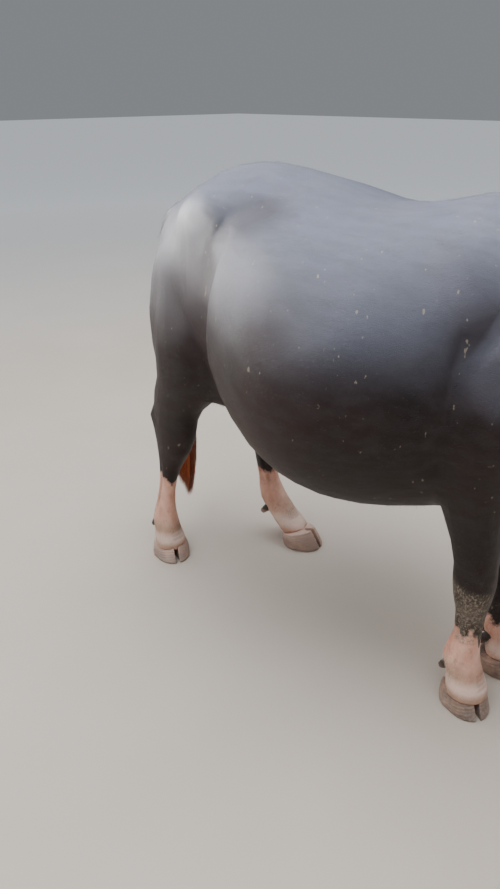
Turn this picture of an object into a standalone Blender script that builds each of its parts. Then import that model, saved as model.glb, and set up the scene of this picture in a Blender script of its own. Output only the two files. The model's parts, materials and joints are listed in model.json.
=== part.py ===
# A life-size standing dairy buffalo cow with a full belly, pale stockings and tightly coiled horns.
# The animal faces +X, its left side is +Y, and it stands on the plane z = 0. All sizes are in metres.
import math
import random

import bmesh
import bpy
from mathutils import Matrix, Vector
from mathutils.bvhtree import BVHTree

# Driving dimensions
GAP = 0.0003  # space kept between pieces that meet
POLL_X, POLL_HEIGHT = 1.15, 1.40  # top of the head, between the horns
FACE_PITCH = 45.0  # degrees that the face slopes below the horizontal
HOOF_LENGTH, CLAW_WIDTH, CLAW_SPACE = 0.148, 0.065, 0.008
CORONET_HEIGHT, CORONET_SLOPE = 0.062, 0.28
EYE_RADIUS = 0.021
EYE_ALONG, EYE_RISE, EYE_OUT = 0.188, -0.036, 0.0915  # place in the head's own frame
HORN_BASE_RADIUS, HORN_TIP_RADIUS = 0.039, 0.008
HORN_COIL_RADIUS, HORN_COIL_END, HORN_TURNS = 0.060, 0.022, 1.25
HORN_START = 16.0  # degrees from straight ahead to the first point of the coil
EAR_LENGTH, EAR_WIDTH, EAR_THICKNESS = 0.255, 0.115, 0.0055
TAIL_ROOT_RADIUS, TAIL_END_RADIUS = 0.033, 0.013
TAIL_PART_HEIGHT = 0.93  # where the tail divides into two lengths
SWITCH_TOP, SWITCH_BOTTOM, SWITCH_SPREAD = 0.66, 0.105, 0.052
LOCK_COUNT, LOCK_WIDTH, LOCK_THICKNESS = 15, 0.032, 0.007
TEAT_LENGTH, TEAT_RADIUS = 0.062, 0.014
DEWCLAW_SETBACK = {"hind_right": -0.014, "hind_left": -0.040, "fore_right": -0.012, "fore_left": -0.012}
DEWCLAW_HEIGHT = {"hind_right": 0.116, "hind_left": 0.104, "fore_right": 0.106, "fore_left": 0.106}

# Mesh budgets
BODY_VOXEL, BODY_SMOOTHING, BODY_TRIANGLES = 0.011, 8, 3500
HEAD_VOXEL, HEAD_SMOOTHING, HEAD_TRIANGLES = 0.0040, 4, 3300
LEG_SPACE_MARGIN = 0.016  # how far the cut round an upper leg stands off it

# Torso sections: x, spine height, height of the widest line, belly height, half width, roof power, keel power
TORSO = (
    (-0.665, 1.110, 1.060, 1.000, 0.025, 2.0, 2.0),
    (-0.648, 1.185, 1.060, 0.935, 0.066, 2.0, 2.0),
    (-0.610, 1.240, 1.060, 0.875, 0.112, 1.9, 2.0),
    (-0.550, 1.288, 1.065, 0.820, 0.158, 1.8, 2.0),
    (-0.465, 1.328, 1.075, 0.770, 0.212, 1.8, 2.0),
    (-0.370, 1.358, 1.080, 0.700, 0.262, 1.8, 2.0),
    (-0.260, 1.372, 1.050, 0.650, 0.300, 1.8, 2.0),
    (-0.130, 1.356, 0.970, 0.590, 0.378, 1.9, 2.1),
    (0.020, 1.332, 0.920, 0.530, 0.435, 1.95, 2.15),
    (0.170, 1.306, 0.900, 0.510, 0.445, 1.95, 2.15),
    (0.310, 1.320, 0.900, 0.530, 0.415, 1.85, 2.1),
    (0.440, 1.354, 0.910, 0.570, 0.355, 1.65, 2.0),
    (0.570, 1.350, 0.925, 0.605, 0.300, 1.65, 2.0),
    (0.690, 1.290, 0.935, 0.650, 0.250, 1.8, 2.0),
    (0.790, 1.190, 0.935, 0.715, 0.185, 2.0, 2.0),
    (0.855, 1.070, 0.935, 0.790, 0.090, 2.0, 2.0),
)

# Neck sections: x, z, pitch of the axis in degrees, rise above it, depth below it, half width
NECK = (
    (0.52, 1.020, 10, 0.330, 0.350, 0.260),
    (0.70, 1.070, 14, 0.275, 0.275, 0.195),
    (0.84, 1.145, 16, 0.222, 0.210, 0.145),
    (0.96, 1.205, 14, 0.182, 0.155, 0.114),
    (1.06, 1.255, 2, 0.148, 0.112, 0.100),
    (1.13, 1.265, -20, 0.125, 0.095, 0.090),
)

# Head sections in the head's own frame: distance from the poll, rise of the face line, depth of the jaw line,
# rise of the widest line, half width, power of the upper half, power of the lower half
HEAD = (
    (-0.055, -0.070, -0.150, -0.110, 0.050, 2.0, 2.0),
    (-0.030, -0.026, -0.195, -0.095, 0.082, 2.2, 2.0),
    (0.010, 0.006, -0.222, -0.075, 0.100, 2.4, 1.9),
    (0.060, 0.022, -0.234, -0.070, 0.108, 2.5, 1.8),
    (0.115, 0.022, -0.232, -0.070, 0.107, 2.5, 1.7),
    (0.170, 0.006, -0.218, -0.062, 0.103, 2.6, 1.6),
    (0.225, -0.008, -0.196, -0.068, 0.093, 2.6, 1.6),
    (0.290, -0.010, -0.173, -0.075, 0.080, 2.4, 1.7),
    (0.360, -0.012, -0.157, -0.080, 0.069, 2.3, 1.9),
    (0.425, -0.014, -0.149, -0.080, 0.066, 2.3, 2.0),
    (0.470, -0.019, -0.146, -0.082, 0.070, 2.4, 2.2),
    (0.502, -0.033, -0.140, -0.084, 0.067, 2.4, 2.3),
    (0.522, -0.054, -0.124, -0.086, 0.050, 2.2, 2.2),
    (0.532, -0.074, -0.108, -0.088, 0.028, 2.0, 2.0),
)

# Leg slices by height: z, x and y of the middle, half length fore and aft, half width across
# x and y are measured from the foot, y outwards
HIND_LEG = (
    (1.16, 0.095, -0.070, 0.110, 0.060),
    (1.06, 0.120, -0.045, 0.145, 0.090),
    (0.95, 0.140, -0.028, 0.165, 0.104),
    (0.85, 0.156, -0.012, 0.162, 0.108),
    (0.76, 0.154, -0.006, 0.150, 0.100),
    (0.69, 0.122, -0.002, 0.126, 0.088),
    (0.63, 0.082, 0.000, 0.102, 0.074),
    (0.59, 0.056, -0.002, 0.103, 0.063),
    (0.555, 0.045, -0.004, 0.108, 0.057),
    (0.51, 0.046, -0.006, 0.096, 0.053),
    (0.45, 0.038, -0.006, 0.075, 0.047),
    (0.41, 0.027, -0.006, 0.056, 0.042),
    (0.37, 0.016, -0.004, 0.042, 0.035),
    (0.32, 0.004, -0.003, 0.034, 0.028),
    (0.27, -0.006, -0.002, 0.033, 0.027),
    (0.22, -0.014, 0.000, 0.038, 0.030),
    (0.175, -0.020, 0.000, 0.047, 0.037),
    (0.145, -0.021, 0.000, 0.052, 0.043),
    (0.110, -0.012, 0.000, 0.050, 0.046),
    (0.078, -0.003, 0.000, 0.054, 0.052),
    (0.045, 0.002, 0.000, 0.056, 0.054),
)
# The far hind leg reaches forward with its fetlock sunk behind the hoof
REACHING_LEG = HIND_LEG[:11] + (
    (0.41, 0.022, -0.006, 0.058, 0.042),
    (0.37, 0.008, -0.004, 0.046, 0.036),
    (0.32, -0.008, -0.003, 0.039, 0.031),
    (0.27, -0.021, -0.002, 0.037, 0.029),
    (0.22, -0.032, 0.000, 0.041, 0.031),
    (0.175, -0.042, 0.000, 0.051, 0.037),
    (0.140, -0.044, 0.000, 0.058, 0.043),
    (0.108, -0.033, 0.000, 0.058, 0.046),
    (0.076, -0.013, 0.000, 0.058, 0.052),
    (0.045, 0.002, 0.000, 0.056, 0.054),
)
FORE_LEG = (
    (1.12, -0.040, 0.040, 0.105, 0.050),
    (1.02, -0.020, 0.080, 0.140, 0.085),
    (0.90, -0.035, 0.098, 0.150, 0.092),
    (0.80, -0.052, 0.092, 0.132, 0.086),
    (0.72, -0.050, 0.078, 0.108, 0.076),
    (0.64, -0.036, 0.056, 0.084, 0.065),
    (0.55, -0.026, 0.034, 0.068, 0.056),
    (0.47, -0.022, 0.018, 0.058, 0.051),
    (0.415, -0.022, 0.010, 0.056, 0.053),
    (0.365, -0.022, 0.006, 0.050, 0.048),
    (0.31, -0.021, 0.003, 0.040, 0.036),
    (0.24, -0.021, 0.001, 0.037, 0.032),
    (0.185, -0.026, 0.000, 0.046, 0.039),
    (0.150, -0.027, 0.000, 0.054, 0.047),
    (0.112, -0.012, 0.000, 0.051, 0.049),
    (0.078, -0.002, 0.000, 0.056, 0.055),
    (0.045, 0.003, 0.000, 0.058, 0.057),
)

# Feet: x, y, side (-1 is the animal's right), toe-out in degrees, leg slices, height that stays put as the leg swings,
# x of the leg's top
FEET = {
    "hind_right": (-0.560, -0.192, -1, 24.0, HIND_LEG, 1.05, -0.560),
    "hind_left": (-0.252, 0.198, 1, 12.0, REACHING_LEG, 1.05, -0.560),
    "fore_right": (0.592, -0.104, -1, 32.0, FORE_LEG, 1.00, 0.592),
    "fore_left": (0.606, 0.110, 1, 24.0, FORE_LEG, 1.00, 0.592),
}
SWING_POWER = 2.6  # how much of the swing happens low down

# Soft swellings over bone and muscle on the right side, mirrored to the left:
# place, half sizes, degrees that the top leans back
SWELLINGS = (
    ((-0.300, -0.165, 1.215), (0.150, 0.100, 0.100), 0),  # hook bone
    ((-0.560, -0.086, 1.148), (0.086, 0.066, 0.100), 0),  # pin bone
    ((-0.430, -0.160, 1.000), (0.150, 0.095, 0.200), 0),  # rump muscle
    ((0.540, -0.165, 1.060), (0.125, 0.100, 0.260), 26),  # shoulder blade
    ((0.690, -0.150, 0.930), (0.110, 0.085, 0.130), 0),  # point of the shoulder
    ((0.470, -0.180, 0.850), (0.110, 0.085, 0.150), 0),  # upper arm
    ((-0.290, -0.160, 0.770), (0.130, 0.080, 0.110), 0),  # stifle and flank fold
    ((0.750, -0.050, 0.810), (0.100, 0.080, 0.120), 0),  # brisket
)

HEAD_SWELLINGS = (
    ((0.120, -0.066, -0.150), (0.090, 0.036, 0.068), 0),  # cheek
    ((0.180, -0.074, -0.034), (0.072, 0.032, 0.042), 0),  # brow and eye socket
    ((0.270, -0.066, -0.092), (0.090, 0.019, 0.022), 0),  # cheekbone ridge
    ((0.486, -0.050, -0.052), (0.036, 0.026, 0.030), 0),  # nostril wing
    ((0.494, -0.024, -0.098), (0.032, 0.050, 0.026), 0),  # upper lip
    ((0.462, -0.020, -0.140), (0.044, 0.040, 0.019), 0),  # chin
    ((0.006, -0.074, -0.020), (0.050, 0.036, 0.040), 0),  # horn boss
    ((0.050, -0.084, -0.130), (0.040, 0.036, 0.036), 0),  # ear root
)

COLOURS = {
    "hide": ((0.055, 0.053, 0.056), 0.45),
    "stocking": ((0.66, 0.47, 0.39), 0.6),
    "hoof": ((0.30, 0.24, 0.20), 0.6),
    "horn": ((0.045, 0.042, 0.040), 0.4),
    "eye": ((0.55, 0.62, 0.66), 0.08),
    "tail_hair": ((0.22, 0.055, 0.02), 0.7),
}


def clear_scene():
    for obj in list(bpy.data.objects):
        bpy.data.objects.remove(obj, do_unlink=True)


def new_collection(name):
    collection = bpy.data.collections.new(name)
    bpy.context.scene.collection.children.link(collection)
    return collection


def make_materials():
    made = {}
    for name, (colour, roughness) in COLOURS.items():
        material = bpy.data.materials.new(name)
        material.use_nodes = True
        shader = material.node_tree.nodes["Principled BSDF"]
        shader.inputs["Base Color"].default_value = (*colour, 1)
        shader.inputs["Roughness"].default_value = roughness
        shader.inputs["Metallic"].default_value = 0
        made[name] = material
    return made


def object_from(bm, name, collection):
    bmesh.ops.recalc_face_normals(bm, faces=bm.faces)
    mesh = bpy.data.meshes.new(name)
    bm.to_mesh(mesh)
    bm.free()
    obj = bpy.data.objects.new(name, mesh)
    collection.objects.link(obj)
    return obj


def baked(obj):
    """The object with its modifiers applied to its mesh."""
    graph = bpy.context.evaluated_depsgraph_get()
    mesh = bpy.data.meshes.new_from_object(obj.evaluated_get(graph))
    obj.modifiers.clear()
    obj.data = mesh
    return obj


def between(rows, steps):
    """A smooth curve through rows of numbers, with that many steps from one row to the next."""
    smooth = []
    last = len(rows) - 1
    for i in range(last):
        before, start = rows[max(i - 1, 0)], rows[i]
        end, after = rows[i + 1], rows[min(i + 2, last)]
        for step in range(steps):
            t = step / steps
            smooth.append(tuple(
                0.5 * (2 * b + (c - a) * t + (2 * a - 5 * b + 4 * c - d) * t**2 + (3 * b - a - 3 * c + d) * t**3)
                for a, b, c, d in zip(before, start, end, after)
            ))
    smooth.append(tuple(rows[last]))
    return smooth


def loft(name, rings, collection, place=None):
    """A closed skin over rings with the same number of points, flat at both ends."""
    bm = bmesh.new()
    loops = [[bm.verts.new(place @ Vector(p) if place else p) for p in ring] for ring in rings]
    count = len(loops[0])
    for first, second in zip(loops, loops[1:]):
        for k in range(count):
            after = (k + 1) % count
            bm.faces.new((first[k], first[after], second[after], second[k]))
    bm.faces.new(loops[0])
    bm.faces.new(loops[-1])
    bmesh.ops.triangulate(bm, faces=bm.faces)
    return object_from(bm, name, collection)


def egg(up, down, across, upper_power, lower_power, sides):
    """(across, up) points of a rounded section, with its own power for the half above and the half below."""
    points = []
    for k in range(sides):
        angle = 2 * math.pi * k / sides
        c, s = math.cos(angle), math.sin(angle)
        power = upper_power if s >= 0 else lower_power
        side = math.copysign(abs(c) ** (2 / power), c) * across
        rise = abs(s) ** (2 / power) * (up if s >= 0 else -down)
        points.append((side, rise))
    return points


def ball(name, place, half_sizes, pitch, collection, detail=(20, 12)):
    bm = bmesh.new()
    bmesh.ops.create_uvsphere(bm, u_segments=detail[0], v_segments=detail[1], radius=1)
    turn = Matrix.Rotation(math.radians(-pitch), 4, "Y")
    matrix = Matrix.Translation(place) @ turn @ Matrix.Diagonal((*half_sizes, 1))
    bmesh.ops.transform(bm, matrix=matrix, verts=bm.verts)
    return object_from(bm, name, collection)


def joined(name, objects, collection):
    """One object that holds all these meshes as they stand. The objects are removed."""
    bm = bmesh.new()
    for obj in objects:
        part = obj.data.copy()
        part.transform(obj.matrix_world)
        bm.from_mesh(part)
        bpy.data.objects.remove(obj, do_unlink=True)
    mesh = bpy.data.meshes.new(name)
    bm.to_mesh(mesh)
    bm.free()
    whole = bpy.data.objects.new(name, mesh)
    collection.objects.link(whole)
    return whole


def melted(obj, voxel, smoothing, triangles):
    """Blends overlapping lumps into one skin and brings it down to a number of triangles."""
    remesh = obj.modifiers.new("blend", "REMESH")
    remesh.mode = "VOXEL"
    remesh.voxel_size = voxel
    smooth = obj.modifiers.new("soften", "SMOOTH")
    smooth.factor = 0.5
    smooth.iterations = smoothing
    baked(obj)
    count = 2 * len(obj.data.polygons)
    fewer = obj.modifiers.new("fewer", "DECIMATE")
    fewer.ratio = triangles / count
    fewer.use_collapse_triangulate = True
    return baked(obj)


def boolean(obj, other, operation, solver="EXACT"):
    """Cuts or joins obj with another object, or with all of a list, at once."""
    helpers = bpy.data.collections.new("helpers")
    for helper in other if isinstance(other, list) else [other]:
        helpers.objects.link(helper)
    modifier = obj.modifiers.new("cut", "BOOLEAN")
    modifier.operation = operation
    modifier.solver = solver
    modifier.operand_type = "COLLECTION"
    modifier.collection = helpers
    baked(obj)
    bpy.data.collections.remove(helpers)
    return obj


def largest_piece(obj):
    """Keeps only the largest closed surface of a mesh."""
    bm = bmesh.new()
    bm.from_mesh(obj.data)
    bmesh.ops.remove_doubles(bm, verts=bm.verts, dist=1e-6)
    left = set(bm.verts)
    groups = []
    while left:
        stack = [left.pop()]
        group = set(stack)
        while stack:
            for edge in stack.pop().link_edges:
                for vert in edge.verts:
                    if vert in left:
                        left.remove(vert)
                        group.add(vert)
                        stack.append(vert)
        groups.append(group)
    keep = max(groups, key=len)
    bmesh.ops.delete(bm, geom=[v for v in bm.verts if v not in keep], context="VERTS")
    bm.to_mesh(obj.data)
    bm.free()
    return obj


def grown(obj, distance, cutters):
    """A copy pushed out along its normals by a distance, to cut a neighbour with."""
    copy = obj.copy()
    copy.data = obj.data.copy()
    copy.name = obj.name + "_grown"
    cutters.objects.link(copy)
    bm = bmesh.new()
    bm.from_mesh(copy.data)
    bmesh.ops.remove_doubles(bm, verts=bm.verts, dist=1e-6)
    bm.normal_update()
    moves = []
    for vert in bm.verts:
        away = Vector()
        for face in vert.link_faces:
            away += face.normal
        away.normalize()
        slant = max(0.35, min((away.dot(face.normal) for face in vert.link_faces), default=1))
        moves.append(away * distance / slant)
    for vert, move in zip(bm.verts, moves):
        vert.co += move
    bm.to_mesh(copy.data)
    bm.free()
    copy.hide_render = True
    copy.display_type = "WIRE"
    return copy


def seat(obj, hosts, cutters):
    """Trims a piece so that it meets its hosts face to face, a gap apart."""
    helpers = [grown(host, GAP, cutters) for host in hosts]
    boolean(obj, helpers, "DIFFERENCE")
    for helper in helpers:
        bpy.data.objects.remove(helper, do_unlink=True)
    return largest_piece(obj)


def torso_lump(lumps):
    rings = []
    for x, top, wide, bottom, half_width, roof, keel in between(TORSO, 4):
        rings.append([(x, y, wide + z) for y, z in egg(top - wide, wide - bottom, half_width, roof, keel, 40)])
    return loft("torso_lump", rings, lumps)


def neck_lump(lumps):
    rings = []
    for x, z, pitch, up, down, half_width in between(NECK, 4):
        angle = math.radians(pitch)
        rings.append([
            (x - rise * math.sin(angle), side, z + rise * math.cos(angle))
            for side, rise in egg(up, down, half_width, 1.8, 1.9, 32)
        ])
    return loft("neck_lump", rings, lumps)


def leg_turn(foot, z):
    """How far down its swing a leg is at a height, from 0 at the top to 1 on the floor."""
    still_height = FEET[foot][5]
    return min(max((still_height - z) / still_height, 0), 1)


def leg_middle(foot, z, x, y):
    foot_x, foot_y, side = FEET[foot][:3]
    top_x = FEET[foot][6]
    return Vector((top_x + x + (foot_x - top_x) * leg_turn(foot, z)**SWING_POWER, foot_y + side * y, z))


def leg_rings(foot, slices, sides=20, margin=0.0):
    """Level rings of a leg that swings about its top and turns out towards the foot."""
    side, toe_out = FEET[foot][2:4]
    rings = []
    for z, x, y, half_length, half_width in slices:
        middle = leg_middle(foot, z, x, y)
        turn = Matrix.Rotation(math.radians(side * toe_out * leg_turn(foot, z)**2), 3, "Z")
        length, width = half_length + margin, half_width + margin
        rings.append([
            middle + turn @ Vector((along, across, 0))
            for across, along in egg(length, length, width, 2.1, 2.0, sides)
        ])
    return rings


def upper_leg_lump(foot, lumps):
    slices = [s for s in between(FEET[foot][4], 3) if s[0] > LEG_PART_HEIGHT[foot[:4]] - 0.05]
    return loft("leg_lump_" + foot, leg_rings(foot, slices), lumps)


def mirrored_balls(rows, lumps, place=None):
    made = []
    for centre, half_sizes, pitch in rows:
        for side in (1, -1):
            x, y, z = centre
            obj = ball("lump", (x, y * side, z), half_sizes, pitch, lumps)
            if place:
                obj.data.transform(place)
            made.append(obj)
    return made


def head_frame():
    """The head's own frame: +X down the face from the poll, +Z out of the forehead."""
    turn = Matrix.Rotation(math.radians(FACE_PITCH), 4, "Y")
    return Matrix.Translation((POLL_X, 0, POLL_HEIGHT)) @ turn


# Heights where a leg divides into its upper and lower part, and where its upper part ends in the body
LEG_PART_HEIGHT = {"hind": 0.575, "fore": 0.46}
LEG_TOP_HEIGHT = {"hind": 1.00, "fore": 0.80}


def make_body_flesh(lumps):
    """Trunk and neck with their swellings, blended well, then the upper legs blended on."""
    trunk = joined("trunk", [torso_lump(lumps), neck_lump(lumps)] + mirrored_balls(SWELLINGS, lumps), lumps)
    melted(trunk, BODY_VOXEL * 1.4, BODY_SMOOTHING * 4, 20000)
    parts = [trunk] + [upper_leg_lump(foot, lumps) for foot in FEET]
    flesh = joined("body_flesh", parts, lumps)
    return melted(flesh, BODY_VOXEL, BODY_SMOOTHING, BODY_TRIANGLES)


def head_lump(lumps):
    rings = []
    for along, top, bottom, wide, half_width, upper, lower in between(HEAD, 4):
        section = egg(top - wide, wide - bottom, half_width, upper, lower, 32)
        rings.append([(along, side, wide + rise) for side, rise in section])
    return loft("head_lump", rings, lumps, head_frame())


def eyelid_lumps(lumps):
    """A thick ring round each eye, longer along the face than it is high."""
    made = []
    for side in (1, -1):
        bpy.ops.mesh.primitive_torus_add(
            major_radius=EYE_RADIUS * 0.86, minor_radius=0.0066, major_segments=24, minor_segments=8,
        )
        ring = bpy.context.active_object
        for collection in list(ring.users_collection):
            collection.objects.unlink(ring)
        lumps.objects.link(ring)
        stretch = Matrix.Diagonal((1.26, 0.88, 1, 1))
        face_out = Matrix.Rotation(math.radians(-72 * side), 4, "X")
        place = Matrix.Translation((EYE_ALONG, side * (EYE_OUT + 0.009), EYE_RISE + 0.002))
        ring.data.transform(head_frame() @ place @ face_out @ stretch)
        made.append(ring)
    return made


def make_head_flesh(lumps):
    """Head and end of the neck, blended well, then the eyelids blended on lightly."""
    parts = [neck_lump(lumps), head_lump(lumps)]
    parts += mirrored_balls(HEAD_SWELLINGS, lumps, head_frame())
    skull = joined("skull", parts, lumps)
    melted(skull, HEAD_VOXEL * 1.4, HEAD_SMOOTHING * 4, 40000)
    flesh = joined("head_flesh", [skull] + eyelid_lumps(lumps), lumps)
    return melted(flesh, HEAD_VOXEL, HEAD_SMOOTHING, HEAD_TRIANGLES)


def prism(name, outline, y_low, y_high, cutters):
    """A solid with a side-view outline of (x, z) points, from one y to another."""
    bm = bmesh.new()
    face = bm.faces.new([bm.verts.new((x, y_low, z)) for x, z in outline])
    pulled = bmesh.ops.extrude_face_region(bm, geom=[face])
    verts = [v for v in pulled["geom"] if isinstance(v, bmesh.types.BMVert)]
    bmesh.ops.translate(bm, verts=verts, vec=(0, y_high - y_low, 0))
    obj = object_from(bm, name, cutters)
    obj.hide_render = True
    obj.display_type = "WIRE"
    return obj


def copy_of(obj, name, collection):
    copy = obj.copy()
    copy.data = obj.data.copy()
    copy.name = name
    collection.objects.link(copy)
    return copy


def leg_space(foot, cutters):
    """The space that an upper leg takes: its own loft, a little wider, from the lower cut to the top cut."""
    low, high = LEG_PART_HEIGHT[foot[:4]], LEG_TOP_HEIGHT[foot[:4]]
    rows = cut_slices(FEET[foot][4], low, high)
    space = loft("space_" + foot, leg_rings(foot, rows, 12, LEG_SPACE_MARGIN), cutters)
    space.hide_render = True
    space.display_type = "WIRE"
    return space


def cut_slices(rows, low, high):
    """Leg slices from one height down to another, with a slice at each end."""
    dense = between(rows, 8)
    inside = [row for row in rows if low < row[0] < high]
    ends = [min(dense, key=lambda row: abs(row[0] - z)) for z in (high, low)]
    return [(high, *ends[0][1:])] + inside + [(low, *ends[1][1:])]


def make_body_nodes(flesh, parts, cutters):
    """Parts the blended body into torso, neck and four upper legs with thin cuts."""
    nodes = {}
    spaces = {foot: leg_space(foot, cutters) for foot in FEET}
    spaces["neck"] = prism("space_neck", [
        NECK_BASE_TOP, NECK_BASE_BOTTOM, (THROAT_BOTTOM[0], 0.6), THROAT_BOTTOM, THROAT_TOP, (THROAT_TOP[0], 1.6),
    ], -0.5, 0.5, cutters)
    for name, space in spaces.items():
        node = "neck" if name == "neck" else "leg_" + name + "_upper"
        nodes[node] = largest_piece(boolean(copy_of(flesh, node, parts), space, "INTERSECT"))
    torso = copy_of(flesh, "torso", parts)
    ahead = prism("space_ahead", [THROAT_TOP, THROAT_BOTTOM, (1.9, 0.9), (1.9, 1.6)], -0.5, 0.5, cutters)
    below = prism("space_below", [(-1, 0), (1, 0), (1, LEG_PART_HEIGHT["fore"]), (-1, LEG_PART_HEIGHT["fore"])],
                  -0.6, 0.6, cutters)
    trimmed = [grown(space, GAP, cutters) for space in spaces.values()]
    boolean(torso, trimmed + [ahead, below], "DIFFERENCE")
    nodes["torso"] = largest_piece(torso)
    for helper in trimmed + [ahead, below] + list(spaces.values()):
        bpy.data.objects.remove(helper, do_unlink=True)
    return nodes


# Side-view points of the two cuts of the neck
NECK_BASE_TOP, NECK_BASE_BOTTOM = (0.52, 1.50), (0.86, 0.66)
THROAT_TOP, THROAT_BOTTOM = (1.080, 1.50), (1.005, 1.00)


def make_eyes(parts):
    eyes = {}
    for name, side in (("eye_left", 1), ("eye_right", -1)):
        centre = head_frame() @ Vector((EYE_ALONG, side * EYE_OUT, EYE_RISE))
        eyes[name] = ball(name, centre, (EYE_RADIUS,) * 3, 0, parts, (14, 8))
    return eyes


def mouth_cutter(head, cutters):
    """A thin bent blade, set into the head's surface, from one corner of the mouth round the lips to the other."""
    thick, deep = 0.0026, 0.014
    surface = BVHTree.FromObject(head, bpy.context.evaluated_depsgraph_get())
    path = []
    for across, along, rise in (
        (-0.078, 0.350, -0.098), (-0.074, 0.395, -0.107), (-0.073, 0.440, -0.115), (-0.070, 0.485, -0.118),
        (-0.056, 0.518, -0.118), (-0.028, 0.537, -0.117), (0.0, 0.542, -0.117),
    ):
        path.append((along, across, rise))
    path += [(along, -across, rise) for along, across, rise in path[-2::-1]]
    bm = bmesh.new()
    loops = []
    for along, across, rise in between(path, 2):
        way = Vector((min(0.44 - along, 0), -across, 0)).normalized()
        start = head_frame() @ (Vector((along, across, rise)) - way * 0.08)
        hit = surface.ray_cast(start, head_frame().to_3x3() @ way)[0]
        middle = head_frame().inverted() @ hit if hit else Vector((along, across, rise))
        inward = way * deep
        up = Vector((0, 0, thick))
        loops.append([bm.verts.new(middle + offset) for offset in (
            up - inward * 0.6, -up - inward * 0.6, -up * 0.3 + inward, up * 0.3 + inward,
        )])
    for first, second in zip(loops, loops[1:]):
        for k in range(4):
            bm.faces.new((first[k], first[(k + 1) % 4], second[(k + 1) % 4], second[k]))
    bm.faces.new(loops[0])
    bm.faces.new(loops[-1])
    bmesh.ops.triangulate(bm, faces=bm.faces)
    blade = object_from(bm, "mouth_blade", cutters)
    blade.data.transform(head_frame())
    return blade


def nostril_cutters(cutters):
    """A short bent bean for each nostril, wide at the front and curling back along the muzzle's side."""
    made = []
    for side in (1, -1):
        rings = []
        for along, across, rise, wide, high in between((
            (0.540, 0.035, -0.066, 0.006, 0.007), (0.523, 0.044, -0.063, 0.013, 0.016),
            (0.503, 0.058, -0.057, 0.015, 0.018), (0.483, 0.071, -0.046, 0.014, 0.011),
            (0.462, 0.081, -0.033, 0.006, 0.004),
        ), 2):
            rings.append([(along, side * (across + a * 0.9), rise + b) for a, b in egg(high, high, wide, 2, 2, 10)])
        made.append(loft("nostril", rings, cutters, head_frame()))
    return made


def make_head(flesh, eyes, parts, cutters):
    """Trims the blended head at the throat, then cuts the eye sockets, the nostrils and the line of the mouth."""
    ahead = prism("space_head", [THROAT_TOP, THROAT_BOTTOM, (THROAT_BOTTOM[0], 0.8), (1.9, 0.8), (1.9, 1.6)],
                  -0.5, 0.5, cutters)
    shift = Matrix.Translation((GAP, 0, 0))
    ahead.data.transform(shift)
    head = largest_piece(boolean(copy_of(flesh, "head", parts), ahead, "INTERSECT"))
    sockets = [grown(eye, GAP, cutters) for eye in eyes.values()]
    carving = sockets + nostril_cutters(cutters) + [mouth_cutter(head, cutters)]
    for cutter in carving:
        boolean(head, cutter, "DIFFERENCE")
    for helper in carving + [ahead]:
        bpy.data.objects.remove(helper, do_unlink=True)
    return largest_piece(head)


def make_horn(name, side, parts):
    """A ringed horn that leaves the poll backwards and coils down, forward and up beside the head."""
    boss = head_frame() @ Vector((0.002, side * 0.078, -0.010))
    first_angle = math.radians(HORN_START)
    centre = boss - Vector((math.cos(first_angle), 0, math.sin(first_angle))) * HORN_COIL_RADIUS
    steps = 17
    rings = []
    for i in range(steps + 1):
        t = i / steps
        angle = first_angle + 2 * math.pi * HORN_TURNS * t
        radius = HORN_COIL_RADIUS + (HORN_COIL_END - HORN_COIL_RADIUS) * t
        out = side * 0.072 * math.sin(math.pi / 2 * min(t * 1.3, 1))
        arm = Vector((math.cos(angle), 0, math.sin(angle)))
        middle = centre + arm * radius + Vector((0, out, 0))
        ridge = 1 + 0.03 * (-1) ** i * (1 - t)
        size = (HORN_BASE_RADIUS + (HORN_TIP_RADIUS - HORN_BASE_RADIUS) * t**0.85) * ridge
        across = Vector((0, 1, 0))
        rings.append([middle + arm * a * 0.82 + across * b for b, a in egg(size, size, size, 2.3, 2.0, 9)])
    return loft(name, rings, parts)


def make_ear(name, side, parts, lumps):
    """A leaf-shaped cup on a short stalk, hollow towards the front, drooping outwards and a little back."""
    rows, columns = 8, 6
    bm = bmesh.new()
    grid = []
    for i in range(rows + 1):
        u = i / rows
        width = EAR_WIDTH * (0.30 + 0.70 * math.sin(math.pi * min(u * 1.02, 1)) ** 0.75) * (1 - u**6 * 0.85)
        curl = 2.5 - 1.7 * min(u * 1.5, 1)
        row = []
        for j in range(columns + 1):
            v = j / columns * 2 - 1
            bend = v * curl
            radius = width / (2 * curl)
            height = radius * math.sin(bend)
            depth = radius * (1 - math.cos(bend))
            droop = -0.045 * u**2
            row.append(bm.verts.new((depth + 0.010 * u, side * u * EAR_LENGTH, height + droop)))
        grid.append(row)
    for i in range(rows):
        for j in range(columns):
            bm.faces.new((grid[i][j], grid[i][j + 1], grid[i + 1][j + 1], grid[i + 1][j]))
    leaf = object_from(bm, "leaf_" + name, lumps)
    wall = leaf.modifiers.new("wall", "SOLIDIFY")
    wall.thickness = EAR_THICKNESS
    wall.offset = 0
    wall.use_even_offset = False
    baked(leaf)
    stalk = ball("stalk_" + name, (0.010, side * 0.004, 0), (0.022, 0.044, 0.024), 0, lumps, (10, 8))
    ear = copy_of(leaf, name, parts)
    boolean(ear, stalk, "UNION")
    root = head_frame() @ Vector((0.050, side * 0.102, -0.134))
    turn = Matrix.Rotation(math.radians(side * -16), 4, "Z") @ Matrix.Rotation(math.radians(side * -7), 4, "X")
    ear.data.transform(Matrix.Translation(root) @ turn)
    for helper in (leaf, stalk):
        bpy.data.objects.remove(helper, do_unlink=True)
    return ear


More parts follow.
